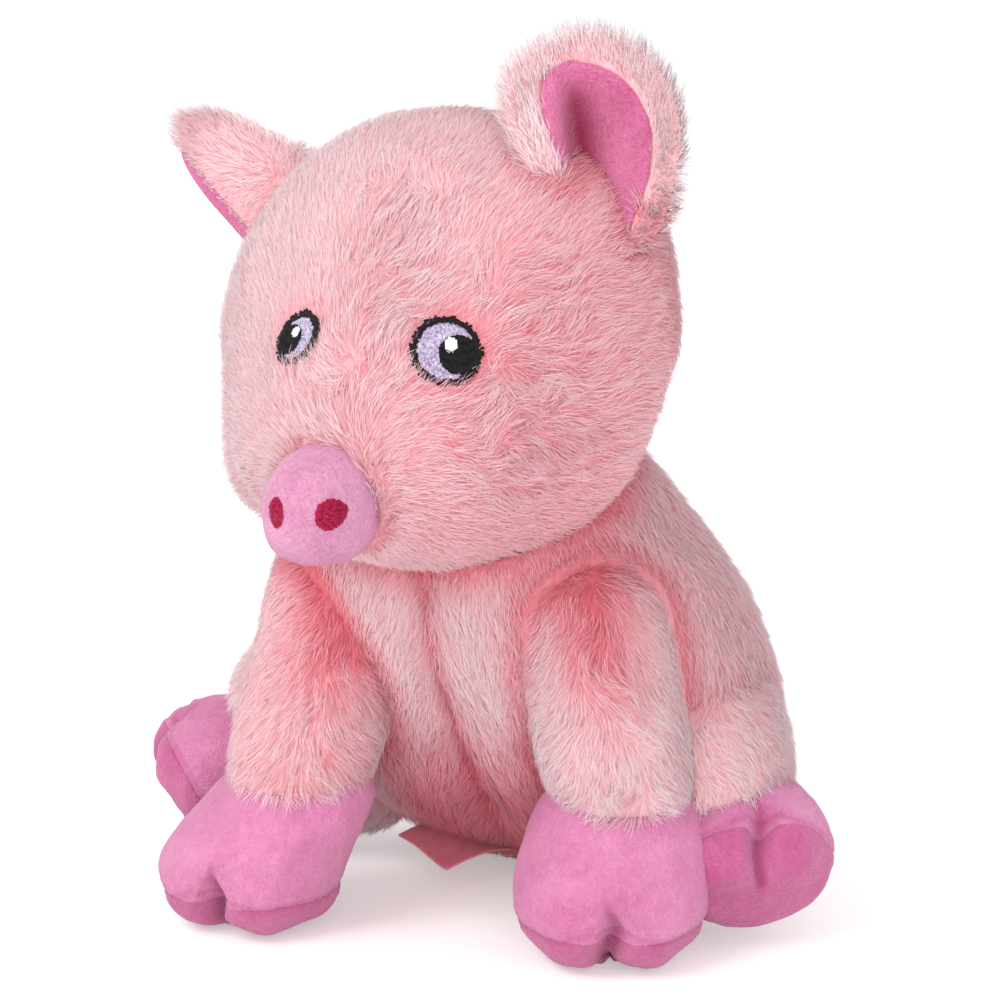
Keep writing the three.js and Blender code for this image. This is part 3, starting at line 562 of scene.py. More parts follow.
def pile_tree(strands, length):
    """Geometry nodes that lay strands over a form by its combing, pile, ruffle and tone."""
    tree = bpy.data.node_groups.new("pile", "GeometryNodeTree")
    tree.interface.new_socket("Form", in_out="INPUT", socket_type="NodeSocketGeometry")
    tree.interface.new_socket("Seed", in_out="INPUT", socket_type="NodeSocketInt")
    tree.interface.new_socket("Pile", in_out="OUTPUT", socket_type="NodeSocketGeometry")
    link = tree.links.new

    def node(kind, settings=(), **inputs):
        return add_node(tree, kind, settings, **inputs)

    def named(name, kind="FLOAT"):
        return node("GeometryNodeInputNamedAttribute", (("data_type", kind),), Name=name).outputs["Attribute"]

    def vector(operation, one, two=None, scale=None):
        made = node("ShaderNodeVectorMath", (("operation", operation),), i0=one)
        if two is not None:
            link(two, made.inputs[1])
        if scale is not None:
            socket = made.inputs["Scale"]
            if isinstance(scale, bpy.types.NodeSocket):
                link(scale, socket)
            else:
                socket.default_value = scale
        return made

    def maths(operation, one, two):
        return node("ShaderNodeMath", (("operation", operation),), i0=one, i1=two).outputs[0]

    def chance(low, high, offset):
        made = node("FunctionNodeRandomValue", (("data_type", "FLOAT"),))
        made.inputs[2].default_value = low
        made.inputs[3].default_value = high
        link(maths("ADD", given.outputs["Seed"], float(offset)), made.inputs["Seed"])
        return made.outputs[1]

    given = node("NodeGroupInput")
    spread = node(
        "GeometryNodeDistributePointsOnFaces", (("distribute_method", "RANDOM"),),
        Mesh=given.outputs["Form"], Density=named("thick"), Seed=given.outputs["Seed"],
    )
    normal = spread.outputs["Normal"]
    here = node("GeometryNodeInputPosition").outputs[0]

    def swirl(scale, detail):
        made = node("ShaderNodeTexNoise", (), Vector=here, Scale=scale, Detail=detail)
        centred = node("ShaderNodeVectorMath", (("operation", "SUBTRACT"),), i0=made.outputs["Color"])
        centred.inputs[1].default_value = (0.5, 0.5, 0.5)
        return centred.outputs[0]

    loose = vector("SCALE", swirl(75.0, 2.0), scale=maths("MULTIPLY", named("ruffle"), 5.0)).outputs[0]
    tufted = node("ShaderNodeMath", (("operation", "MULTIPLY_ADD"),), i0=named("ruffle"), i1=2.2, i2=0.35)
    tuft = vector("SCALE", swirl(330.0, 1.0), scale=tufted.outputs[0]).outputs[0]
    stray = node("FunctionNodeRandomValue", (("data_type", "FLOAT_VECTOR"),))
    stray.inputs[0].default_value = (-0.22, -0.22, -0.22)
    stray.inputs[1].default_value = (0.22, 0.22, 0.22)
    link(given.outputs["Seed"], stray.inputs["Seed"])
    way = vector("ADD", named("comb", "FLOAT_VECTOR"), loose).outputs[0]
    way = vector("ADD", way, tuft).outputs[0]
    way = vector("ADD", way, stray.outputs[0]).outputs[0]
    across = vector("DOT_PRODUCT", way, normal).outputs["Value"]
    level = vector("SUBTRACT", way, vector("SCALE", normal, scale=across).outputs[0]).outputs[0]
    level = vector("NORMALIZE", level).outputs[0]
    lean = maths("ADD", named("lean"), chance(-0.16, 0.16, 3))
    rise = vector("SCALE", normal, scale=maths("COSINE", lean, 0.0)).outputs[0]
    run = vector("SCALE", level, scale=maths("SINE", lean, 0.0)).outputs[0]
    aim = vector("ADD", rise, run).outputs[0]
    stand = node("FunctionNodeAlignRotationToVector", (("axis", "Z"),), Vector=aim)
    face = node(
        "FunctionNodeAlignRotationToVector", (("axis", "X"), ("pivot_axis", "Z")),
        Rotation=stand.outputs[0], Vector=level,
    )
    shapes = node("GeometryNodeJoinGeometry")
    for strand in strands:
        shown = node("GeometryNodeObjectInfo", (("transform_space", "ORIGINAL"),))
        shown.inputs["Object"].default_value = strand
        shown.inputs["As Instance"].default_value = True
        link(shown.outputs["Geometry"], shapes.inputs[0])
    pick = node("FunctionNodeRandomValue", (("data_type", "INT"),))
    pick.inputs[4].default_value = 0
    pick.inputs[5].default_value = len(strands) - 1
    tall = maths("MULTIPLY", named("pile"), maths("MULTIPLY", chance(0.74, 1.2, 5), length))
    thick = maths("MULTIPLY", chance(0.8, 1.2, 7), length)
    size = node("ShaderNodeCombineXYZ", (), X=thick, Y=thick, Z=tall)
    planted = node(
        "GeometryNodeInstanceOnPoints", (), Points=spread.outputs["Points"], Instance=shapes.outputs[0],
        Rotation=face.outputs[0], Scale=size.outputs[0],
    )
    planted.inputs["Pick Instance"].default_value = True
    link(pick.outputs[2], planted.inputs["Instance Index"])
    unevenness = maths("ADD", maths("MULTIPLY", named("ruffle"), 0.2), 0.07)
    swing = maths("MULTIPLY", chance(-1.0, 1.0, 9), unevenness)
    parting = node("ShaderNodeTexNoise", (), Vector=here, Scale=330.0, Detail=3.0).outputs["Fac"]
    parted = maths("MULTIPLY", maths("MULTIPLY", maths("SUBTRACT", parting, 0.5), named("ruffle")), 1.7)
    shade = maths("ADD", maths("ADD", named("tone"), swing), parted)
    toned = node(
        "GeometryNodeStoreNamedAttribute", (("data_type", "FLOAT"), ("domain", "INSTANCE")),
        Geometry=planted.outputs[0], Name="shade", Value=shade,
    )
    based = node(
        "GeometryNodeStoreNamedAttribute", (("data_type", "FLOAT_VECTOR"), ("domain", "INSTANCE")),
        Geometry=toned.outputs[0], Name="skin", Value=named("ground", "FLOAT_VECTOR"),
    )
    real = node("GeometryNodeRealizeInstances", (), Geometry=based.outputs[0])
    own = node("GeometryNodeInputNormal").outputs[0]
    skin = named("skin", "FLOAT_VECTOR")
    agree = node("ShaderNodeMapRange", (), Value=vector("DOT_PRODUCT", own, skin).outputs["Value"])
    for index, value in ((1, -0.3), (2, 0.25), (3, 0.1), (4, SOFTNESS)):
        agree.inputs[index].default_value = value
    soft = vector("ADD", vector("SCALE", own, scale=maths("SUBTRACT", 1.0, agree.outputs[0])).outputs[0],
                  vector("SCALE", skin, scale=agree.outputs[0]).outputs[0]).outputs[0]
    shaded = node("GeometryNodeSetMeshNormal", (("mode", "FREE"), ("domain", "POINT")), Mesh=real.outputs[0])
    link(vector("NORMALIZE", soft).outputs[0], shaded.inputs["Custom Normal"])
    both = node("ShaderNodeCombineXYZ", (), X=named("shade"), Y=named("along"))
    bake = node(
        "GeometryNodeStoreNamedAttribute", (("data_type", "FLOAT2"), ("domain", "CORNER")),
        Geometry=shaded.outputs[0], Name="OFBake", Value=both.outputs[0],
    )
    out = node("NodeGroupOutput")
    link(bake.outputs[0], out.inputs[0])
    return tree


# How far a strand takes the shading of the skin under it, and how many strands stand for one
SOFTNESS = 1.0
THICKNESS = 2.5
STRAND_LENGTH = 0.0062
STRANDS = [strand_form("strand_1", 0, 0), strand_form("strand_2", 0, 0),
           strand_form("strand_3", 0.10, -0.06), strand_form("strand_4", 0.08, 0.07)]
PILE_NODES = pile_tree(STRANDS, STRAND_LENGTH)


def tease(bm, rule):
    """Raises the soft lumps and tufts of the plush, and keeps the tone of each place for its backing."""
    bm.normal_update()
    tone = bm.verts.layers.float.get("tone") or bm.verts.layers.float.new("tone")
    steps = []
    for v in bm.verts:
        look = rule(v.co, v.normal)
        ruffle = look.get("ruffle", 0.1)
        v[tone] = look.get("tone", 0.6)
        lump = 0.8 * noise.noise(v.co / 15) + (0.15 + 0.7 * ruffle) * noise.noise(v.co / 4.2)
        steps.append(v.normal * (lump * look.get("give", 1)))
    for v, step in zip(bm.verts, steps):
        v.co += step


def grow_pile(name, bm, body, rule, replaces, seed):
    """Covers a form with strands. rule gives, for a point and its normal: how many strands a
    square millimetre, the way they are combed, their length, ruffle, tone and lean."""
    bm.normal_update()
    layers = {key: bm.verts.layers.float.get(key) or bm.verts.layers.float.new(key)
              for key in ("thick", "pile", "ruffle", "tone", "lean")}
    comb = bm.verts.layers.float_vector.new("comb")
    ground = bm.verts.layers.float_vector.new("ground")
    for v in bm.verts:
        look = rule(v.co, v.normal)
        v[comb] = look["comb"]
        v[ground] = look.get("ground", v.normal)
        above = max(0.2, (v.co.z - 1) / 8)
        v[layers["thick"]] = (0 if v.co.z < 2 else look["thick"]) * THICKNESS * 1e6
        v[layers["pile"]] = min(look.get("pile", 1.0), above)
        v[layers["ruffle"]] = look.get("ruffle", 0.1)
        v[layers["tone"]] = look.get("tone", 0.6)
        v[layers["lean"]] = math.radians(look.get("lean", 66))
    bmesh.ops.scale(bm, vec=(0.001, 0.001, 0.001), verts=bm.verts)
    bmesh.ops.translate(bm, vec=MIDDLE, verts=bm.verts)
    mesh = bpy.data.meshes.new(name)
    bm.to_mesh(mesh)
    bm.free()
    holder = bpy.data.objects.new(name, mesh)
    bpy.context.scene.collection.objects.link(holder)
    nodes = holder.modifiers.new("pile", "NODES")
    nodes.node_group = PILE_NODES
    nodes["Socket_1"] = seed
    bpy.context.view_layer.update()
    graph = bpy.context.evaluated_depsgraph_get()
    grown = bpy.data.meshes.new_from_object(
        holder.evaluated_get(graph), preserve_all_data_layers=True, depsgraph=graph)
    bpy.data.objects.remove(holder)
    grown.name = name
    for attribute in [a.name for a in grown.attributes if a.name in ("shade", "along", "skin")]:
        grown.attributes.remove(grown.attributes[attribute])
    return adopt(name, grown, body, PLUSH, replaces)


# Forms of the padded bodies, inset by the pile that stands on them

# Where the stuffing fills the cheeks out or leaves them slack: a direction, how far, how wide
FULLNESS = (
    ((-38, -58, -32), 4.5, 0.035), ((38, -58, -32), 2.5, 0.035), ((-52, -30, -8), 1.8, 0.12),
    ((50, 22, -20), -5.0, 0.06), ((-50, 22, -20), -3.0, 0.06), ((-50, -22, -46), 6.0, 0.05),
    ((-47, -20, -36), 4.5, 0.03), ((44, 19, 40), 4.0, 0.06),
)


def head_form(inset, around=168, rings=120):
    bm = ball(around, rings)
    for v in bm.verts:
        d = v.co.normalized()
        full = sum(far * math.exp((d.dot(Vector(way).normalized()) - 1) / wide)
                   for way, far, wide in FULLNESS)
        v.co = HEAD + d * (head_reach(d) + full)
    swell(bm, -inset)
    return bm


def torso_form(inset, around=160, rings=120):
    bm = sectioned(TORSO, around, rings)
    swell(bm, -inset)
    rest_on_floor(bm)
    return bm


def foreleg_sections():
    def bulge(height, radius):
        return (height, -radius, radius, radius)

    foot, top = 20.5, 22
    return [
        bulge(HOOF_TOP - 14, 0), bulge(HOOF_TOP - 11, foot * 0.7), bulge(HOOF_TOP, foot),
        bulge((SHOULDER.z + HOOF_TOP) / 2, top), bulge(SHOULDER.z, top),
        bulge((SHOULDER.z + FORELEG_TOP) / 2, top * 0.86), bulge(FORELEG_TOP - 2, top * 0.4),
        bulge(FORELEG_TOP, 0),
    ]


def foreleg_form(side, sign, inset, around=88, rings=80):
    x, y, _, ankle = FOREHOOF[side]
    bm = sectioned(foreleg_sections(), around, rings)
    for v in bm.verts:
        share = (v.co.z - HOOF_TOP) / (SHOULDER.z - HOOF_TOP)
        top = sign * SHOULDER.x + (RIGHT_SHOULDER_IN if side == "right" else 0)
        v.co.x += (1 - share) * (x + ankle[0]) + share * top
        v.co.y += (1 - share) * (y + ankle[1]) + share * SHOULDER.y
    swell(bm, -inset)
    return bm


def thigh_form(side, inset, around=88, rings=64):
    x, y, z, turn = THIGH[side]
    bm = egg(THIGH_HALF, turned(x, y, z, turn), around, rings)
    swell(bm, -inset)
    rest_on_floor(bm)
    return bm


def hoof_place(name):
    kind, side = name.split("_")
    if kind == "foreleg":
        x, y, turn, _ = FOREHOOF[side]
        return turned(x, y, 0, turn), 1.0
    x, y, z, tip, turn = HIND_HOOF[side]
    return turned(x, y, z, turn, tip) @ Matrix.Translation((0, 0, -23 * HIND_SIZE)), HIND_SIZE


def hoof_form(name, inset=0.0, around=128, rings=110):
    kind, side = name.split("_")
    ankle = Vector((0, 0, 0))
    if kind == "foreleg":
        _, _, turn, shift = FOREHOOF[side]
        ankle = Matrix.Rotation(math.radians(-turn), 3, "Z") @ Vector((*shift, 0))
    place, size = hoof_place(name)
    bm = sectioned(HOOF, around, rings, 0.5)
    bm.normal_update()
    tone = bm.verts.layers.float.new("tone")
    for v in bm.verts:
        angle = math.atan2(v.co.x, -v.co.y)
        ahead = smooth_step(-v.co.y, 2, 16)
        low = 1 - smooth_step(v.co.z, 10, 20)
        side_of = v.co.x + 1.2 * math.sin(v.co.z * 0.35)
        cleft = ahead * low * math.exp(-(side_of / 2.8) ** 2)
        pinch = ahead * (1 - smooth_step(v.co.z, 16, 24)) * math.exp(-(side_of / 1.1) ** 2)
        seam = v.co.z - SOLE_SEAM - 2.2 * ahead * (1 - smooth_step(abs(v.co.x), 3, 14))
        line = math.exp(-(seam / 0.8) ** 2)
        drawn = 0.2 * math.exp(-(seam / 2.6) ** 2) + 0.4 * line
        wander = noise.noise(Vector((angle * 4, 0, v.co.z * 0.05)))
        pucker = 0.26 * math.exp(-((abs(seam) - 2) / 1.8) ** 2) * math.sin(angle * 46 + 5 * wander)
        toe = math.hypot(v.co.x, v.co.z - 18)
        rays = 0.45 * ahead * math.exp(-((toe - 6) / 4) ** 2) * math.sin(9 * math.atan2(v.co.x, v.co.z - 18))
        plump = 1.6 * ahead * low * math.exp(-((abs(v.co.x) - 12) / 6) ** 2)
        soft = 0.5 * noise.noise(v.co / 9) + 0.22 * noise.noise(v.co / 3.4)
        # Painted shade along the sole seam, in the cleft and at the middle of the toe.
        v[tone] = min(0.8, 0.38 * line + 0.6 * pinch + 0.22 * ahead * math.exp(-(toe / 6) ** 2))
        v.co -= v.normal * (drawn - pucker - rays + 1.4 * pinch - plump - soft)
        v.co.y += 6 * cleft
        v.co += ankle * smooth_step(v.co.z, 12, 44)
    if kind == "hindleg":
        bmesh.ops.scale(bm, vec=HIND_SHAPE, verts=bm.verts)
    bmesh.ops.scale(bm, vec=(size, size, size), verts=bm.verts)
    swell(bm, -inset)
    bmesh.ops.transform(bm, matrix=place, verts=bm.verts)
    rest_on_floor(bm, 0.2 + inset)
    return bm


def chest_line(point):
    return math.exp(-((point.x - 0.5) / 3) ** 2) if point.y < 20 else 0


# Each padded body is blown up as cloth first, held along its seams
head_skin = head_form(HEAD_INSET)
inflate(head_skin, lambda p, n: 0.9 * max(
    math.exp(-((p.y - FACE_SEAM) / 3) ** 2), 1 - smooth_step((p - SNOUT).length, 15, 21)))
torso_skin = torso_form(TORSO_INSET)
inflate(torso_skin, lambda p, n: 0.9 * max(chest_line(p), 1 - smooth_step(abs(p.z - SEAT_SEAM), 2, 5)))
head_tree = tree_of(head_skin)
press_out(torso_skin, head_tree, lambda point: NECK_DOWN, 0.6)
torso_tree = tree_of(torso_skin)


def out_of_torso(point):
    return Vector((point.x, point.y - 25, 0))


# The chest is drawn in along its middle seam, from where the belly starts up to the neck
def draw_chest(bm):
    bm.normal_update()
    for v in bm.verts:
        if v.co.y > 20 or v.normal.y > 0.2:
            continue
        line = math.exp(-((v.co.x - 0.5) / 2.2) ** 2)
        wide = math.exp(-((v.co.x - 0.5) / 9) ** 2)
        tall = smooth_step(v.co.z, 18, 30) * (1 - smooth_step(v.co.z, 112, 124))
        v.co -= v.normal * tall * (2.2 * line + 2.0 * wide)


draw_chest(torso_skin)

forelegs = {}
thighs = {}
hooves = {}
for side, sign in SIDES:
    for kind in ("foreleg", "hindleg"):
        name = f"{kind}_{side}"
        hoof = hoof_form(name)
        place, size = hoof_place(name)
        level = place.inverted()
        inflate(hoof, lambda p, n: 0.9 * math.exp(-(((level @ p).z / size - SOLE_SEAM) / 3) ** 2), 0.8, 1.6)
        press_off(hoof, torso_tree, 0.5)
        hooves[name] = hoof
    leg = foreleg_form(side, sign, PILE)
    inflate(leg, lambda p, n: 0.9 * (1 - smooth_step(p.z, HOOF_TOP - 2, HOOF_TOP + 4)))
    press_out(leg, torso_tree, out_of_torso, 0.5, tree_of(leg))
    press_off(leg, head_tree, 1.5)
    forelegs[side] = leg
    thigh = thigh_form(side, PILE)
    inflate(thigh, lambda p, n: 0)
    own = tree_of(thigh)
    press_off(thigh, torso_tree, 0.5, own)
    press_off(thigh, tree_of(leg), 0.8, own)
    thighs[side] = thigh
hoof_trees = {name: tree_of(hoof) for name, hoof in hooves.items()}


NEIGHBOURHOOD = 14


def near(tree, point, reach, normal=None):
    """1 where a neighbour lies within reach, falling to 0 beyond it. With a normal given, only
    where the two face each other."""
    place, facing, _, distance = tree.find_nearest(point)
    if distance > NEIGHBOURHOOD:
        return 0
    if (point - place).dot(facing) < 0:
        distance = 0
    if normal is not None and facing.dot(normal) > -0.25:
        return 0
    return 1 - smooth_step(distance, reach * 0.4, reach)


# Eyes

def surface_at(direction):
    d = direction.normalized()
    side_step = d.orthogonal().normalized() * 0.01
    up_step = d.cross(side_step).normalized() * 0.01

    def point(way):
        way = way.normalized()
        return HEAD + way * head_reach(way)

    a, b, c = point(d), point(d + side_step), point(d + up_step)
    normal = (b - a).cross(c - a).normalized()
    if normal.dot(d) < 0:
        normal = -normal
    return a, normal


EYES = {
    "left": (*surface_at(Vector((19, -45, 5.5))), 1.0),
    "right": (*surface_at(Vector((-14.8, -48, 6.4))), 0.82),
}


def eye_axes(side, sign):
    at, aim, _ = EYES[side]
    out = aim.cross(Vector((0, 0, 1))).normalized() * -sign
    up = (out.cross(aim) * -sign).normalized()
    if up.z < 0:
        up = -up
    return at, aim, out, up


def stitch(bm, start, end, rise, half, lift):
    """One satin stitch: a low five-sided bar from start to end."""
    run = end - start
    length = run.length
    if length < 0.2:
        return
    made = bmesh.ops.create_cone(bm, cap_ends=True, segments=5, radius1=1, radius2=1, depth=1)
    verts = made["verts"]
    along = run.normalized()
    side = rise.cross(along).normalized()
    turn = Matrix((side, rise, along)).transposed().to_4x4()
    bmesh.ops.scale(bm, vec=(half, half * 0.8, length), verts=verts)
    bmesh.ops.transform(bm, matrix=Matrix.Translation(start + run / 2 + rise * lift) @ turn, verts=verts)


def stitched_disc(bm, centre, rise, across, up, radius, pitch, length, lift, rng, bounds=None, holes=()):
    """Rows of stitches that fill a disc, each row a little out of step with the last."""
    rows = int(2 * radius / pitch)
    for r in range(rows + 1):
        level = -radius + r * pitch
        reach = math.sqrt(max(0, radius ** 2 - level ** 2))
        start = -reach + rng.uniform(-0.15, 0.15)
        if reach < 0.3:
            continue
        while start < reach - 0.15:
            end = min(reach + rng.uniform(-0.15, 0.15), start + length * rng.uniform(0.8, 1.2))
            a = centre + across * start + up * (level + rng.uniform(-0.04, 0.04))
            b = centre + across * end + up * (level + rng.uniform(-0.04, 0.04))
            middle = (a + b) / 2
            if (bounds is None or bounds(middle)) and not any((middle - c).length < h for c, h in holes):
                stitch(bm, a, b, rise, pitch * 0.56, lift + rng.uniform(-0.05, 0.05))
            start = end


def make_eye(side, sign):
    at, aim, out, up = eye_axes(side, sign)
    size = EYES[side][2]
    rng = random.Random(7 + sign)
    seat = at - aim * 1.6
    pupil = seat + (out * 2.8 - up * 1.0) * size
    glint = seat + (out * 1.2 + up * 1.5) * size
    radius = EYE_RADIUS * size

    def sew(part, bm, finish):
        settle(f"eye_{side}_{part}_stitches", bm, "head", finish, (f"eye_{side}_{part}",))

    outline = bmesh.new()
    made = bmesh.ops.create_cone(
        outline, cap_ends=True, segments=48, radius1=radius - 0.3, radius2=radius - 0.6, depth=3.4)
    level = out if out.cross(up).dot(aim) >= 0 else -out
    turn = Matrix((level, up, level.cross(up))).transposed().to_4x4()
    bmesh.ops.transform(outline, matrix=Matrix.Translation(seat - aim * 1.9) @ turn, verts=made["verts"])
    count = 84
    for k in range(count):
        angle = 2 * math.pi * (k + rng.uniform(-0.2, 0.2)) / count
        way = out * math.cos(angle) + up * math.sin(angle)
        inner = radius - 1.5 + rng.uniform(-0.3, 0.3)
        outer = radius + rng.uniform(-0.4, 0.5)
        stitch(outline, seat + way * inner, seat + way * outer, aim, 0.36, 0.15 + rng.uniform(-0.06, 0.06))
    sew("outline", outline, BLACK)

    field = bmesh.new()
    for k in range(150):
        angle = 2 * math.pi * (k + rng.uniform(-0.3, 0.3)) / 150
        way = out * math.cos(angle) + up * math.sin(angle)
        ends = [0.4 * radius * rng.uniform(0, 1), 0.62 * radius * rng.uniform(0.9, 1.1),
                radius - 1.3 + rng.uniform(-0.2, 0.1)]
        for a, b in zip(ends, ends[1:]):
            stitch(field, seat + way * a, seat + way * b, aim, 0.2, 0.05 + rng.uniform(-0.05, 0.05))
    sew("field", field, PALE)

    dark = bmesh.new()
    stitched_disc(dark, pupil, aim, up, out, 4.7 * size, 0.42, 2.4, 0.3, rng,
                  bounds=lambda p: (p - seat).length < radius - 0.5, holes=((glint, 1.1 * size),))
    sew("pupil", dark, BLACK)

    light = bmesh.new()
    stitched_disc(light, glint, aim, up, out, 1.6 * size, 0.4, 2.4, 0.46, rng)
    sew("glint", light, WHITE)


# Ears
def ear_place(side):
    root, along, back, curl = EAR[side]
    length = Vector(along).normalized()
    across = Vector(back).cross(length).normalized()
    lean = Matrix((across, length.cross(across), length)).transposed().to_4x4()
    return Matrix.Translation(HEAD + Vector(root)) @ lean, curl


# Outlines up an ear: height, middle, half width. The left one is a broad round leaf, the right
# one is folded and runs out to a narrow tip.
EAR_LEAF = {
    "left": [(-3, 3, 0), (2, 3, 9), (12, 3, 14.8), (22, 3, 18.3), (32, 1.7, 19.3), (40, 0.5, 16.8),
             (46.5, 0, 11.5), (50.5, 0, 0)],
    "right": [(-7, 1.5, 0), (0, 1.5, 12.5), (9, 1.5, 13.5), (22, 1, 11.2), (34, 0.4, 8.6),
              (45, -0.4, 6.2), (51, -0.8, 4.2), (54.5, -0.8, 0)],
}
EAR_LINING = {
    "left": [(0, 2, 0), (4.5, 2.5, 4), (14, 3.7, 8.8), (24, 3.6, 11.6), (32, 2.2, 11.6), (38, 0.6, 9.8),
             (42, -0.8, 6), (44.5, -1.2, 0)],
    "right": [(-2, 7, 0), (3, 8.5, 9), (12, 8, 10.8), (24, 6.4, 9.4), (34, 5.2, 7.8), (43, 3.8, 5.8),
              (48, 2.4, 4), (51, 1, 0)],
}


def ear_fold(across, height):
    """How far the left ear is pressed back: a steep wall beside the pleat, then a slow slope."""
    fold = across + 5 - 0.06 * (height - 22)
    wide = 3.2 if fold < 2.5 else 10.0
    pressed = 12 * math.exp(-((fold - 2.5) / wide) ** 2)
    return pressed * (1 - smooth_step(height, 27, 46)) * smooth_step(height, -2, 12)


def ear_sheet(side, outline, low, high, around=120, rings=56):
    """A closed leaf with an outline, between two depths."""
    place, curl = ear_place(side)
    bm = ball(around, rings)
    tone = bm.verts.layers.float.new("tone")
    for v in bm.verts:
        height, middle, half = section_at(outline, (1 + v.co.y) / 2)
        brim = math.sqrt(max(0, 1 - v.co.y ** 2))
        chord = max(-1, min(1, v.co.x / brim)) if brim > 1e-4 else 0
        across = middle + chord * max(0, half)
        turn = across / curl
        radius = curl + (low + high) / 2 + v.co.z * (high - low) / 2
        deep = ear_fold(across, height) if side == "left" else 0
        # Painted shade in the hollow beside the left ear's pleat.
        if side == "left":
            v[tone] = 0.95 * math.exp(-((across + 2.6) / 5) ** 2) * smooth_step(deep, 1, 8)
        v.co = (radius * math.sin(turn), radius * math.cos(turn) - curl + deep, height)
    bmesh.ops.transform(bm, matrix=place, verts=bm.verts)
    face_out(bm)
    return bm


def ear_look(side):
    place, _ = ear_place(side)
    inverse = place.inverted()
    along = (place.to_3x3() @ Vector((0, 0, 1))).normalized()
    back = (place.to_3x3() @ Vector((0, 1, 0))).normalized()
    lining_tree = tree_of(ears[side][1])

    def look(point, normal):
        local = inverse @ point
        facing = normal.dot(back)
        thick = 1.25
        if facing < 0.2 and abs(depth_in(lining_tree, point)) < 0.9:
            thick = 0
        if depth_in(head_tree, point) < -1:
            thick = 0
        outward = place.to_3x3() @ Vector((local.x, 0, local.z - 24))
        comb = along * 0.5 + outward * 0.035
        brink = smooth_step(outward.length, 11, 19)
        ground = (normal + outward.normalized() * 1.5 * brink).normalized()
        rim = 1 - smooth_step(facing, -0.5, 0.4)
        root = 1 - smooth_step(local.z, 4, 15)
        # Painted shade at the root, where the ear meets the head.
        tone = (0.95 if side == "left" else 0.76) + 0.1 * rim - 0.45 * root
        lean = 66 - (16 * rim if side == "left" else 0)
        thick *= 1 + 0.5 * rim
        pile = 0.85
        if side == "right":
            pile -= 0.5 * smooth_step(local.x, 6, 10)
        return dict(thick=thick, comb=comb, pile=pile, ruffle=0.2 + 0.5 * root, tone=tone, lean=lean,
                    ground=ground)

    return look


ears = {side: (ear_sheet(side, EAR_LEAF[side], 0.3, 4.2 if side == "left" else 3.4),
               ear_sheet(side, EAR_LINING[side], -1.2, 1.0)) for side, sign in SIDES}
ear_trees = {side: tree_of(pair[0]) for side, pair in ears.items()}


# How the pile lies over each body

def bump_at(value, middle, half):
    return math.exp(-((value - middle) / half) ** 2)


def head_look(point, normal):
    local = point - HEAD
    comb = (point - SNOUT).normalized() + Vector((0, 0, -0.2 - 0.9 * smooth_step(local.y, -20, 25)))
    ruffle = 0.06
    if normal.y < -0.1:
        bridge = bump_at(local.x, 4, 13) * smooth_step(local.z, -22, 2) * (1 - smooth_step(local.z, 36, 52))
        cheek = bump_at(local.x, 36, 17) * smooth_step(local.z, -36, -22) * (1 - smooth_step(local.z, 14, 36))
        ruffle += 0.85 * max(bridge, cheek)
    # Painted light where the head faces up and painted shade where it faces down.
    tone = 0.76 + 0.12 * smooth_step(normal.z, 0.2, 0.9) - 0.14 * smooth_step(-normal.z, 0.1, 0.8)
    tone -= 0.12 * ruffle
    # Painted light: paler on the head's right side, towards the key light.
    tone += 0.24 * smooth_step(-local.x, 2, 34)
    thick = 0.9 + 0.4 * min(1, ruffle)
    pile = 0.78 + 0.27 * min(1, ruffle)
    lean = 77 - 11 * min(1, ruffle)
    for at, aim, size in EYES.values():
        gap = (point - at).length
        rim = EYE_RADIUS * size
        if gap < rim + 0.2:
            thick = 0
        pile = min(pile, 0.5 + 0.5 * smooth_step(gap, rim, rim + 6))
        # Painted shade round each eye, where the pile dips to the stitching.
        tone -= 0.22 * (1 - smooth_step(gap, rim, rim + 5))
    snout_gap = math.sqrt(sum(((point[i] - SNOUT[i]) / SNOUT_HALF[i]) ** 2 for i in range(3)))
    if snout_gap < 0.98:
        thick = 0
    ring = 1 - smooth_step(snout_gap, 1.0, 1.5)
    comb = comb * (1 - ring) + Vector((local.x * 0.03, -1.2, (local.z + 29) * 0.03)) * ring
    pile += 0.5 * ring
    lean -= 26 * ring
    thick *= 1 + ring
    # Painted shade along the face seam's groove, and on the head's left side, away from the key light.
    tone -= 0.2 * bump_at(point.y, FACE_SEAM, 5) + 0.17 * smooth_step(local.x, 6, 40)
    # Painted shade where the ears meet the head.
    for tree in ear_trees.values():
        tone -= 0.4 * near(tree, point, 7)
    if near(torso_tree, point, 2, normal) > 0.95:
        thick = 0
    return dict(thick=thick, comb=comb, pile=pile, ruffle=ruffle, tone=tone, lean=lean)


def torso_look(point, normal):
    comb = Vector((point.x * 0.004, 0.0, -1.0))
    tone = 0.68 + 0.06 * smooth_step(abs(point.x), 34, 56)
    ruffle = 0.3
    if normal.y < 0 and abs(point.x) < 40:
        front = 1 - smooth_step(abs(point.x), 18, 40)
        # Painted shade low on the belly between the forelegs; along the chest seam the coral of the parted
        # pile, with painted shade in the drawn-in groove.
        tone += front * (0.14 - 0.9 * (1 - smooth_step(point.z, 24, 68)) - 0.5 * bump_at(point.x, 0.5, 2.2))
        comb = comb + Vector((0.5 if point.x > 0.5 else -0.5, 0, 0)) * bump_at(point.x, 0.5, 10)
    parts = [*forelegs_tree.values(), *thighs_tree.values()]
    thick = 1.0 if normal.y < 0 else 0.9
    if max(near(tree, point, 2.5, normal) for tree in parts) > 0.98:
        thick = 0
    beside = max(near(tree, point, 8) for tree in (*forelegs_tree.values(), head_tree))
    # Painted shade near the floor and where the torso meets the forelegs, head and thighs.
    tone -= 0.6 * (1 - smooth_step(point.z, 6, 22))
    tone -= 0.42 * beside + 0.12 * max(near(tree, point, 6) for tree in thighs_tree.values())
    return dict(thick=thick, comb=comb, pile=0.95 - 0.25 * beside, ruffle=ruffle, tone=tone,
                lean=71 - 14 * near(head_tree, point, 6))


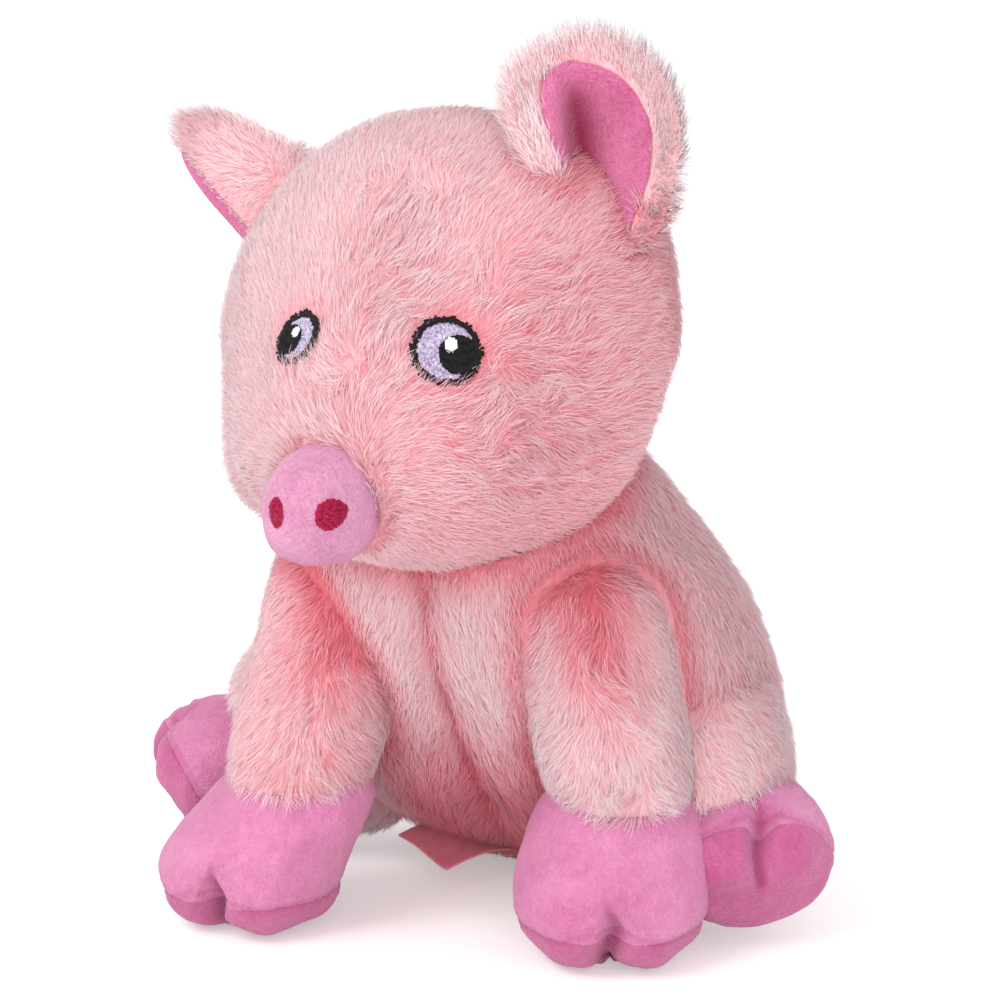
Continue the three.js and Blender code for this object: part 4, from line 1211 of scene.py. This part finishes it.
def foreleg_look(side, sign):
    x, y, _, ankle = FOREHOOF[side]
    foot = Vector((x + ankle[0], y + ankle[1], HOOF_TOP))
    top = Vector((sign * SHOULDER.x + (RIGHT_SHOULDER_IN if side == "right" else 0), SHOULDER.y, SHOULDER.z))

    def look(point, normal):
        share = (point.z - HOOF_TOP) / (SHOULDER.z - HOOF_TOP)
        middle = foot.lerp(top, share)
        across = (point.x - middle.x) * 0.914 + (point.y - middle.y) * 0.407
        facing = smooth_step(-normal.y * 0.89 + normal.x * 0.4, 0.1, 0.7)
        whorl = facing * bump_at(across, 1, 10)
        comb = Vector((0.914, 0.407, 0)) * across * 0.07 * facing + Vector((0, 0.05, -0.9))
        ruffle = 0.12 + 0.85 * whorl
        # The right foreleg is set darker than the left: painted shade. The whorl shows the coral of its
        # parting, deepened as painted shade towards the shoulder under the head, where the top is darker too.
        tone = 0.92 if sign > 0 else 0.68
        tone -= 0.75 * whorl * smooth_step(share, 0.25, 0.95) + 0.12 * smooth_step(share, 0.8, 1.2)
        thick = 1.0
        if near(torso_tree, point, 2.5, normal) > 0.98 or depth_in(torso_tree, point) < 0.3:
            thick = 0
        # Painted shade where the leg meets the torso.
        tone -= 0.4 * near(torso_tree, point, 5)
        return dict(thick=thick, comb=comb, pile=0.8 + 0.25 * whorl, ruffle=ruffle, tone=tone,
                    lean=72 - 12 * whorl)

    return look


def thigh_look(name):
    def look(point, normal):
        comb = Vector((0.35 if point.x > 0 else -0.35, 0.1, -0.8))
        thick = 1.0
        if near(torso_tree, point, 2.5, normal) > 0.98 or depth_in(hoof_trees[name], point) < 0.2:
            thick = 0
        # Painted shade where the thigh meets the torso.
        tone = 0.9 - 0.14 * near(torso_tree, point, 4)
        return dict(thick=thick, comb=comb, pile=0.9, ruffle=0.4, tone=tone, lean=71)

    return look


forelegs_tree = {side: tree_of(forelegs[side]) for side in forelegs}
thighs_tree = {side: tree_of(thighs[side]) for side in thighs}

tease(head_skin, head_look)
tease(torso_skin, torso_look)
leg_looks = {}
for side, sign in SIDES:
    leg_looks[f"foreleg_{side}"] = foreleg_look(side, sign)
    leg_looks[f"hindleg_{side}"] = thigh_look(f"hindleg_{side}")
for side, sign in SIDES:
    tease(forelegs[side], leg_looks[f"foreleg_{side}"])
    tease(thighs[side], leg_looks[f"hindleg_{side}"])
    tease(ears[side][0], ear_look(side))

def plush_cover(name, bm, body, nodes, thickness=BACKING):
    settle(name, bm, body, BACKING_CLOTH, nodes, thickness)


# Head covers
FORWARD = Vector((0, -1, 0))
UP = Vector((0, 0, 1))
ACROSS = Vector((1, 0, 0))
seam_point = Vector((0, FACE_SEAM, 0))
for name, nodes, way, seed in (
    ("face_panel_cover", ("face_panel",), FORWARD, 11),
    ("head_back_panel_cover", ("head_back_panel",), -FORWARD, 13),
):
    cover = head_skin.copy()
    keep_side(cover, seam_point, way)
    for side, sign in SIDES:
        half = cover.copy()
        keep_side(half, Vector((0, 0, 0)), ACROSS * sign)
        grow_pile(f"{name}_pile_{side}", half, "head", head_look, nodes, seed + sign)
    plush_cover(name, cover, "head", nodes)

for side, sign in SIDES:
    make_eye(side, sign)

# Torso covers
for name, node, sign, seed in (
    ("torso_left_cover", "torso_left_panel", 1, 21),
    ("torso_right_cover", "torso_right_panel", -1, 23),
):
    cover = torso_skin.copy()
    keep_side(cover, Vector((0, 0, 0)), ACROSS * sign)
    keep_side(cover, Vector((0, 0, SEAT_SEAM)), UP)
    for part, way, step in (("front", FORWARD, 0), ("rear", -FORWARD, 2)):
        half = cover.copy()
        keep_side(half, Vector((0, 22, 0)), way)
        grow_pile(f"{name}_pile_{part}", half, "torso", torso_look, (node,), seed + step)
    plush_cover(name, cover, "torso", (node,))
seat = torso_skin.copy()
keep_side(seat, Vector((0, 0, SEAT_SEAM)), -UP)
grow_pile("seat_cover_pile", seat.copy(), "torso", torso_look, ("seat_panel",), 27)
plush_cover("seat_cover", seat, "torso", ("seat_panel",))

# Legs
for side, sign in SIDES:
    for kind, form, seed in (("foreleg", forelegs[side], 31), ("hindleg", thighs[side], 41)):
        body = f"{kind}_{side}"
        nodes = (f"{body}_sleeve",)
        cover = form.copy()
        if kind == "foreleg":
            keep_side(cover, Vector((0, 0, HOOF_TOP - 3)), UP)
        else:
            drop_within(cover, hoof_trees[body], 2.0)
        grow_pile(f"{body}_sleeve_pile", cover.copy(), body, leg_looks[body], nodes, seed + sign)
        plush_cover(f"{body}_sleeve_cover", cover, body, nodes)

# Stuffing of each body, drawn in under its covers
UNDER = PILE + BACKING + 1.2


def join_forms(forms):
    joined = bmesh.new()
    for form in forms:
        mesh = bpy.data.meshes.new("joined")
        form.to_mesh(mesh)
        form.free()
        joined.from_mesh(mesh)
        bpy.data.meshes.remove(mesh)
    return joined


pocket = [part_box(name) for name in ("squeaker_base", "squeaker_bellows", "squeaker_reed", "squeaker_cap")]
low = Vector([min(box[0][i] for box in pocket) * 1000 - 1.5 for i in range(3)]) - MIDDLE * 1000
high = Vector([max(box[1][i] for box in pocket) * 1000 + 1.5 for i in range(3)]) - MIDDLE * 1000
hollow = bmesh.new()
bmesh.ops.create_cube(hollow, size=1)
bmesh.ops.scale(hollow, vec=high - low, verts=hollow.verts)
bmesh.ops.translate(hollow, vec=(low + high) / 2, verts=hollow.verts)
bmesh.ops.bevel(hollow, geom=hollow.edges[:], offset=4, segments=4, affect="EDGES", profile=0.5)
bmesh.ops.reverse_faces(hollow, faces=hollow.faces[:])
torso_fill = torso_form(UNDER, 96, 72)
press_out(torso_fill, head_tree, lambda point: NECK_DOWN, 3.0)
draw_chest(torso_fill)
for v in torso_fill.verts:
    v.co.z = max(v.co.z, 2)
torso_fill = join_forms([torso_fill, hollow])
settle("torso_stuffing", torso_fill, "torso", FIBRE, ("torso_filling",))
head_fill = head_form(UNDER, 96, 72)
settle("head_stuffing", head_fill, "head", FIBRE, ("head_filling",))
for side, sign in SIDES:
    for kind in ("foreleg", "hindleg"):
        name = f"{kind}_{side}"
        if kind == "foreleg":
            form = foreleg_form(side, sign, UNDER, 64, 56)
            own = tree_of(form)
            press_out(form, torso_tree, out_of_torso, 2.6, own)
            press_off(form, head_tree, 4.5, own)
        else:
            form = thigh_form(side, UNDER, 64, 48)
            own = tree_of(form)
            press_off(form, torso_tree, 2.6, own)
            press_off(form, tree_of(forelegs[side]), 3.0, own)
        foot = hoof_form(name, BACKING + 1.2, 72, 60)
        press_off(foot, torso_tree, 2.6, tree_of(foot))
        form = join_forms([form, foot])
        piece = settle(f"{name}_stuffing", form, name, FIBRE, (f"{name}_filling",))
        joined = piece.modifiers.new("joined", "REMESH")
        joined.mode = "VOXEL"
        joined.voxel_size = 0.0018
        joined.use_smooth_shade = True

for name, hoof in hooves.items():
    place, size = hoof_place(name)
    axis = (place.to_3x3() @ Vector((0, 0, 1))).normalized()
    for part, finish, way in (("hoof_upper", HOOF_VELOUR, axis), ("hoof_sole", SHADED_SOLE_VELOUR, -axis)):
        half = hoof.copy()
        keep_side(half, place @ Vector((0, 0, SOLE_SEAM * size)), way)
        piece = settle(
            f"{name}_{part}_velour", half, name, finish, (f"{name}_{part}",), BACKING)


# Snout
def snout_form(inset=0.0):
    bm = ball(128, 96)
    for v in bm.verts:
        x, y, z = v.co
        up = max(-1, min(1, z))
        side_way = 1 - 0.2 * smooth_step(up, 0, 1) + 0.04 * smooth_step(-up, 0, 0.8)
        scale = 1 / (abs(x) ** 2.5 + abs(y) ** 2.5 + abs(z) ** 2.5) ** 0.4
        reach = Vector((x * side_way * SNOUT_HALF.x, y * SNOUT_HALF.y, z * SNOUT_HALF.z))
        v.co = SNOUT + reach * scale * 0.97
    bm.normal_update()
    tone = bm.verts.layers.float.new("tone")
    for v in bm.verts:
        lump = noise.noise(v.co * 0.5) * 0.35 + noise.noise(v.co * 2.2) * 0.16
        # Painted shade behind, where the snout meets the face, and on its underside.
        behind = 0.5 * (1 - smooth_step(SNOUT.y + 9 - v.co.y, 3, 14))
        v[tone] = behind + 0.25 * smooth_step(SNOUT.z - v.co.z, 4, 13)
        v.co += v.normal * (lump - inset)
    return bm


snout_inner = snout_form(1.8)
settle("snout_stuffing", snout_inner, "head", FIBRE, ("snout_filling",))
snout = snout_form()
snout_tree = tree_of(snout)
settle("snout_velour_cap", snout, "head", SNOUT_VELOUR, ("snout_cap",))

for side, sign in SIDES:
    rng = random.Random(90 + sign)
    bm = bmesh.new()
    rows = 17
    for r in range(rows):
        level = -3.3 + 6.6 * r / (rows - 1)
        reach = (2.5 if side == "left" else 2.0) * math.sqrt(max(0.02, 1 - (level / 3.45) ** 2))
        start = -reach + rng.uniform(-0.15, 0.15)
        while start < reach - 0.15:
            end = min(reach, start + rng.uniform(0.9, 1.7))
            ends = []
            for across in (start, end):
                x, z = SNOUT.x + 2.3 + sign * 5.9 + across, SNOUT.z + 0.8 + level
                hit, rise, _, _ = snout_tree.ray_cast(Vector((x, -200, z)), Vector((0, 1, 0)))
                ends.append(hit)
            if None not in ends:
                stitch(bm, ends[0], ends[1], rise, 0.27, 0.1 + rng.uniform(-0.07, 0.07))
            start = end
    settle(f"nostril_{side}_stitches", bm, "head", CRIMSON, (f"nostril_{side}",))


# Ears
for side, sign in SIDES:
    body = f"ear_{side}"
    leaf, lining = ears[side]
    grow_pile(f"{body}_back_pile", leaf.copy(), body, ear_look(side), (f"{body}_back",), 51 + sign)
    plush_cover(f"{body}_back_cover", leaf, body, (f"{body}_back",), 0)
    settle(f"{body}_lining_velour", lining, body, LINING_VELOUR, (f"{body}_lining",))

# Tail
tail_sections = [
    (-8, 0, 0, 0), (-7, -4.2, 4.2, 4.2), (0, -6, 6, 6), (14.4, -5.1, 5.1, 5.1), (22.1, -3, 3, 3),
    (24, 0, 0, 0),
]
tail = sectioned(tail_sections, 32, 28)
swell(tail, -2.2)
tail_turn = Matrix.Rotation(math.radians(-58), 4, "X")
bmesh.ops.transform(tail, matrix=Matrix.Translation((0, 77, 40)) @ tail_turn, verts=tail.verts)
tail_way = tail_turn.to_3x3() @ Vector((0, 0, 1))


def tail_look(point, normal):
    return dict(thick=1.2, comb=tail_way, pile=0.6, ruffle=0.15, tone=0.7, lean=60)


tease(tail, tail_look)
grow_pile("tail_pile", tail.copy(), "tail", tail_look, ("tail",), 61)
plush_cover("tail_cover", tail, "tail", ("tail",), 0)

# Label
label = bmesh.new()
bmesh.ops.create_grid(label, x_segments=40, y_segments=36, size=0.5)
bmesh.ops.scale(label, vec=(28, 26, 1), verts=label.verts)
bmesh.ops.translate(label, vec=(-14, 0, 0), verts=label.verts)
for v in label.verts:
    v.co.z += 2.8 * math.sin(math.pi * -v.co.x / 28) + 0.35 * math.sin(v.co.y * 0.24 + 0.6)
out_way = Vector((0.572, 0.82, 0)).normalized()
wide_way = Vector((-0.82, 0.572, 0.075))
wide_way = (wide_way - out_way * wide_way.dot(out_way)).normalized()
label_place = Matrix((out_way, wide_way, out_way.cross(wide_way))).transposed().to_4x4()
bmesh.ops.transform(label, matrix=Matrix.Translation((-9.1, 40.9, 7.6)) @ label_place, verts=label.verts)
for v in label.verts:
    v.co.z = max(v.co.z, 0.9)
ribbon = settle("label_ribbon", label, "label", SATIN, ("label",), 0.5)

for name, finish in INNER.items():
    node = bpy.data.objects[name]
    node.data.materials.clear()
    node.data.materials.append(finish)

for bm in [head_skin, torso_skin, *forelegs.values(), *thighs.values(), *hooves.values()]:
    bm.free()


# Stage: a white floor that keeps the shadow, soft light from the upper left, and the camera

def shows_backdrop(tree):
    """1 for the rays that show the backdrop itself, straight, mirrored or through something clear."""
    rays = add_node(tree, "ShaderNodeLightPath").outputs
    highest = (("operation", "MAXIMUM"),)
    other = add_node(
        tree, "ShaderNodeMath", highest, i0=rays["Is Glossy Ray"], i1=rays["Is Transmission Ray"])
    shown = add_node(tree, "ShaderNodeMath", highest, i0=rays["Is Camera Ray"], i1=other.outputs[0])
    return shown.outputs[0]


def floor_finish():
    f = Finish("white_floor", roughness=0.9)
    f.shader.inputs["Base Color"].default_value = (0.88, 0.88, 0.88, 1)
    glow = f.node("ShaderNodeEmission", (), Strength=0.36)
    lit = f.node("ShaderNodeAddShader", (), i0=f.shader.outputs[0], i1=glow.outputs[0])
    both = f.node(
        "ShaderNodeMixShader", (), Fac=shows_backdrop(f.tree), i1=f.shader.outputs[0], i2=lit.outputs[0])
    f.tree.links.new(both.outputs[0], f.tree.nodes["Material Output"].inputs["Surface"])
    return f.material


floor_mesh = bmesh.new()
bmesh.ops.create_grid(floor_mesh, x_segments=1, y_segments=1, size=14)
bmesh.ops.translate(floor_mesh, vec=(0, 0, -0.0004), verts=floor_mesh.verts)
ground = bpy.data.meshes.new("floor")
floor_mesh.to_mesh(ground)
floor_mesh.free()
ground.materials.append(floor_finish())
floor = bpy.data.objects.new("floor", ground)
bpy.context.scene.collection.objects.link(floor)

world = bpy.data.worlds.new("studio")
bpy.context.scene.world = world
world.use_nodes = True
sky = world.node_tree
ambient = sky.nodes["Background"]
ambient.inputs["Color"].default_value = (1, 0.985, 0.98, 1)
ambient.inputs["Strength"].default_value = 0.8
backdrop = add_node(sky, "ShaderNodeBackground", Color=(1, 1, 1, 1), Strength=1.0)
mixed = add_node(
    sky, "ShaderNodeMixShader", Fac=shows_backdrop(sky), i1=ambient.outputs[0], i2=backdrop.outputs[0])
sky.links.new(mixed.outputs[0], sky.nodes["World Output"].inputs["Surface"])


def lamp(name, at, aim, size, power, colour=(1, 1, 1)):
    light = bpy.data.lights.new(name, "AREA")
    light.shape = "DISK"
    light.size = size
    light.energy = power
    light.color = colour
    holder = bpy.data.objects.new(name, light)
    holder.location = at
    holder.rotation_euler = (Vector(aim) - Vector(at)).to_track_quat("-Z", "Y").to_euler()
    bpy.context.scene.collection.objects.link(holder)


TARGET = Vector((0.0143, -0.0042, 0.112))
lamp("key", (-0.42, -0.95, 1.1), TARGET, 0.8, 9.0, (1, 0.99, 0.98))
lamp("fill", (0.72, -1.05, 0.3), TARGET, 1.0, 6.4, (0.98, 0.99, 1))

AZIMUTH, ELEVATION, DISTANCE = math.radians(24), math.radians(13), 0.8
away = Vector((math.sin(AZIMUTH) * math.cos(ELEVATION), -math.cos(AZIMUTH) * math.cos(ELEVATION),
               math.sin(ELEVATION)))
eye = bpy.data.cameras.new("camera")
eye.sensor_width = 36
eye.lens = 115.2
eye.clip_start = 0.01
camera = bpy.data.objects.new("camera", eye)
camera.location = TARGET + away * DISTANCE
camera.rotation_euler = (-away).to_track_quat("-Z", "Y").to_euler()
bpy.context.scene.collection.objects.link(camera)
bpy.context.scene.camera = camera
bpy.context.scene.view_settings.view_transform = "Standard"
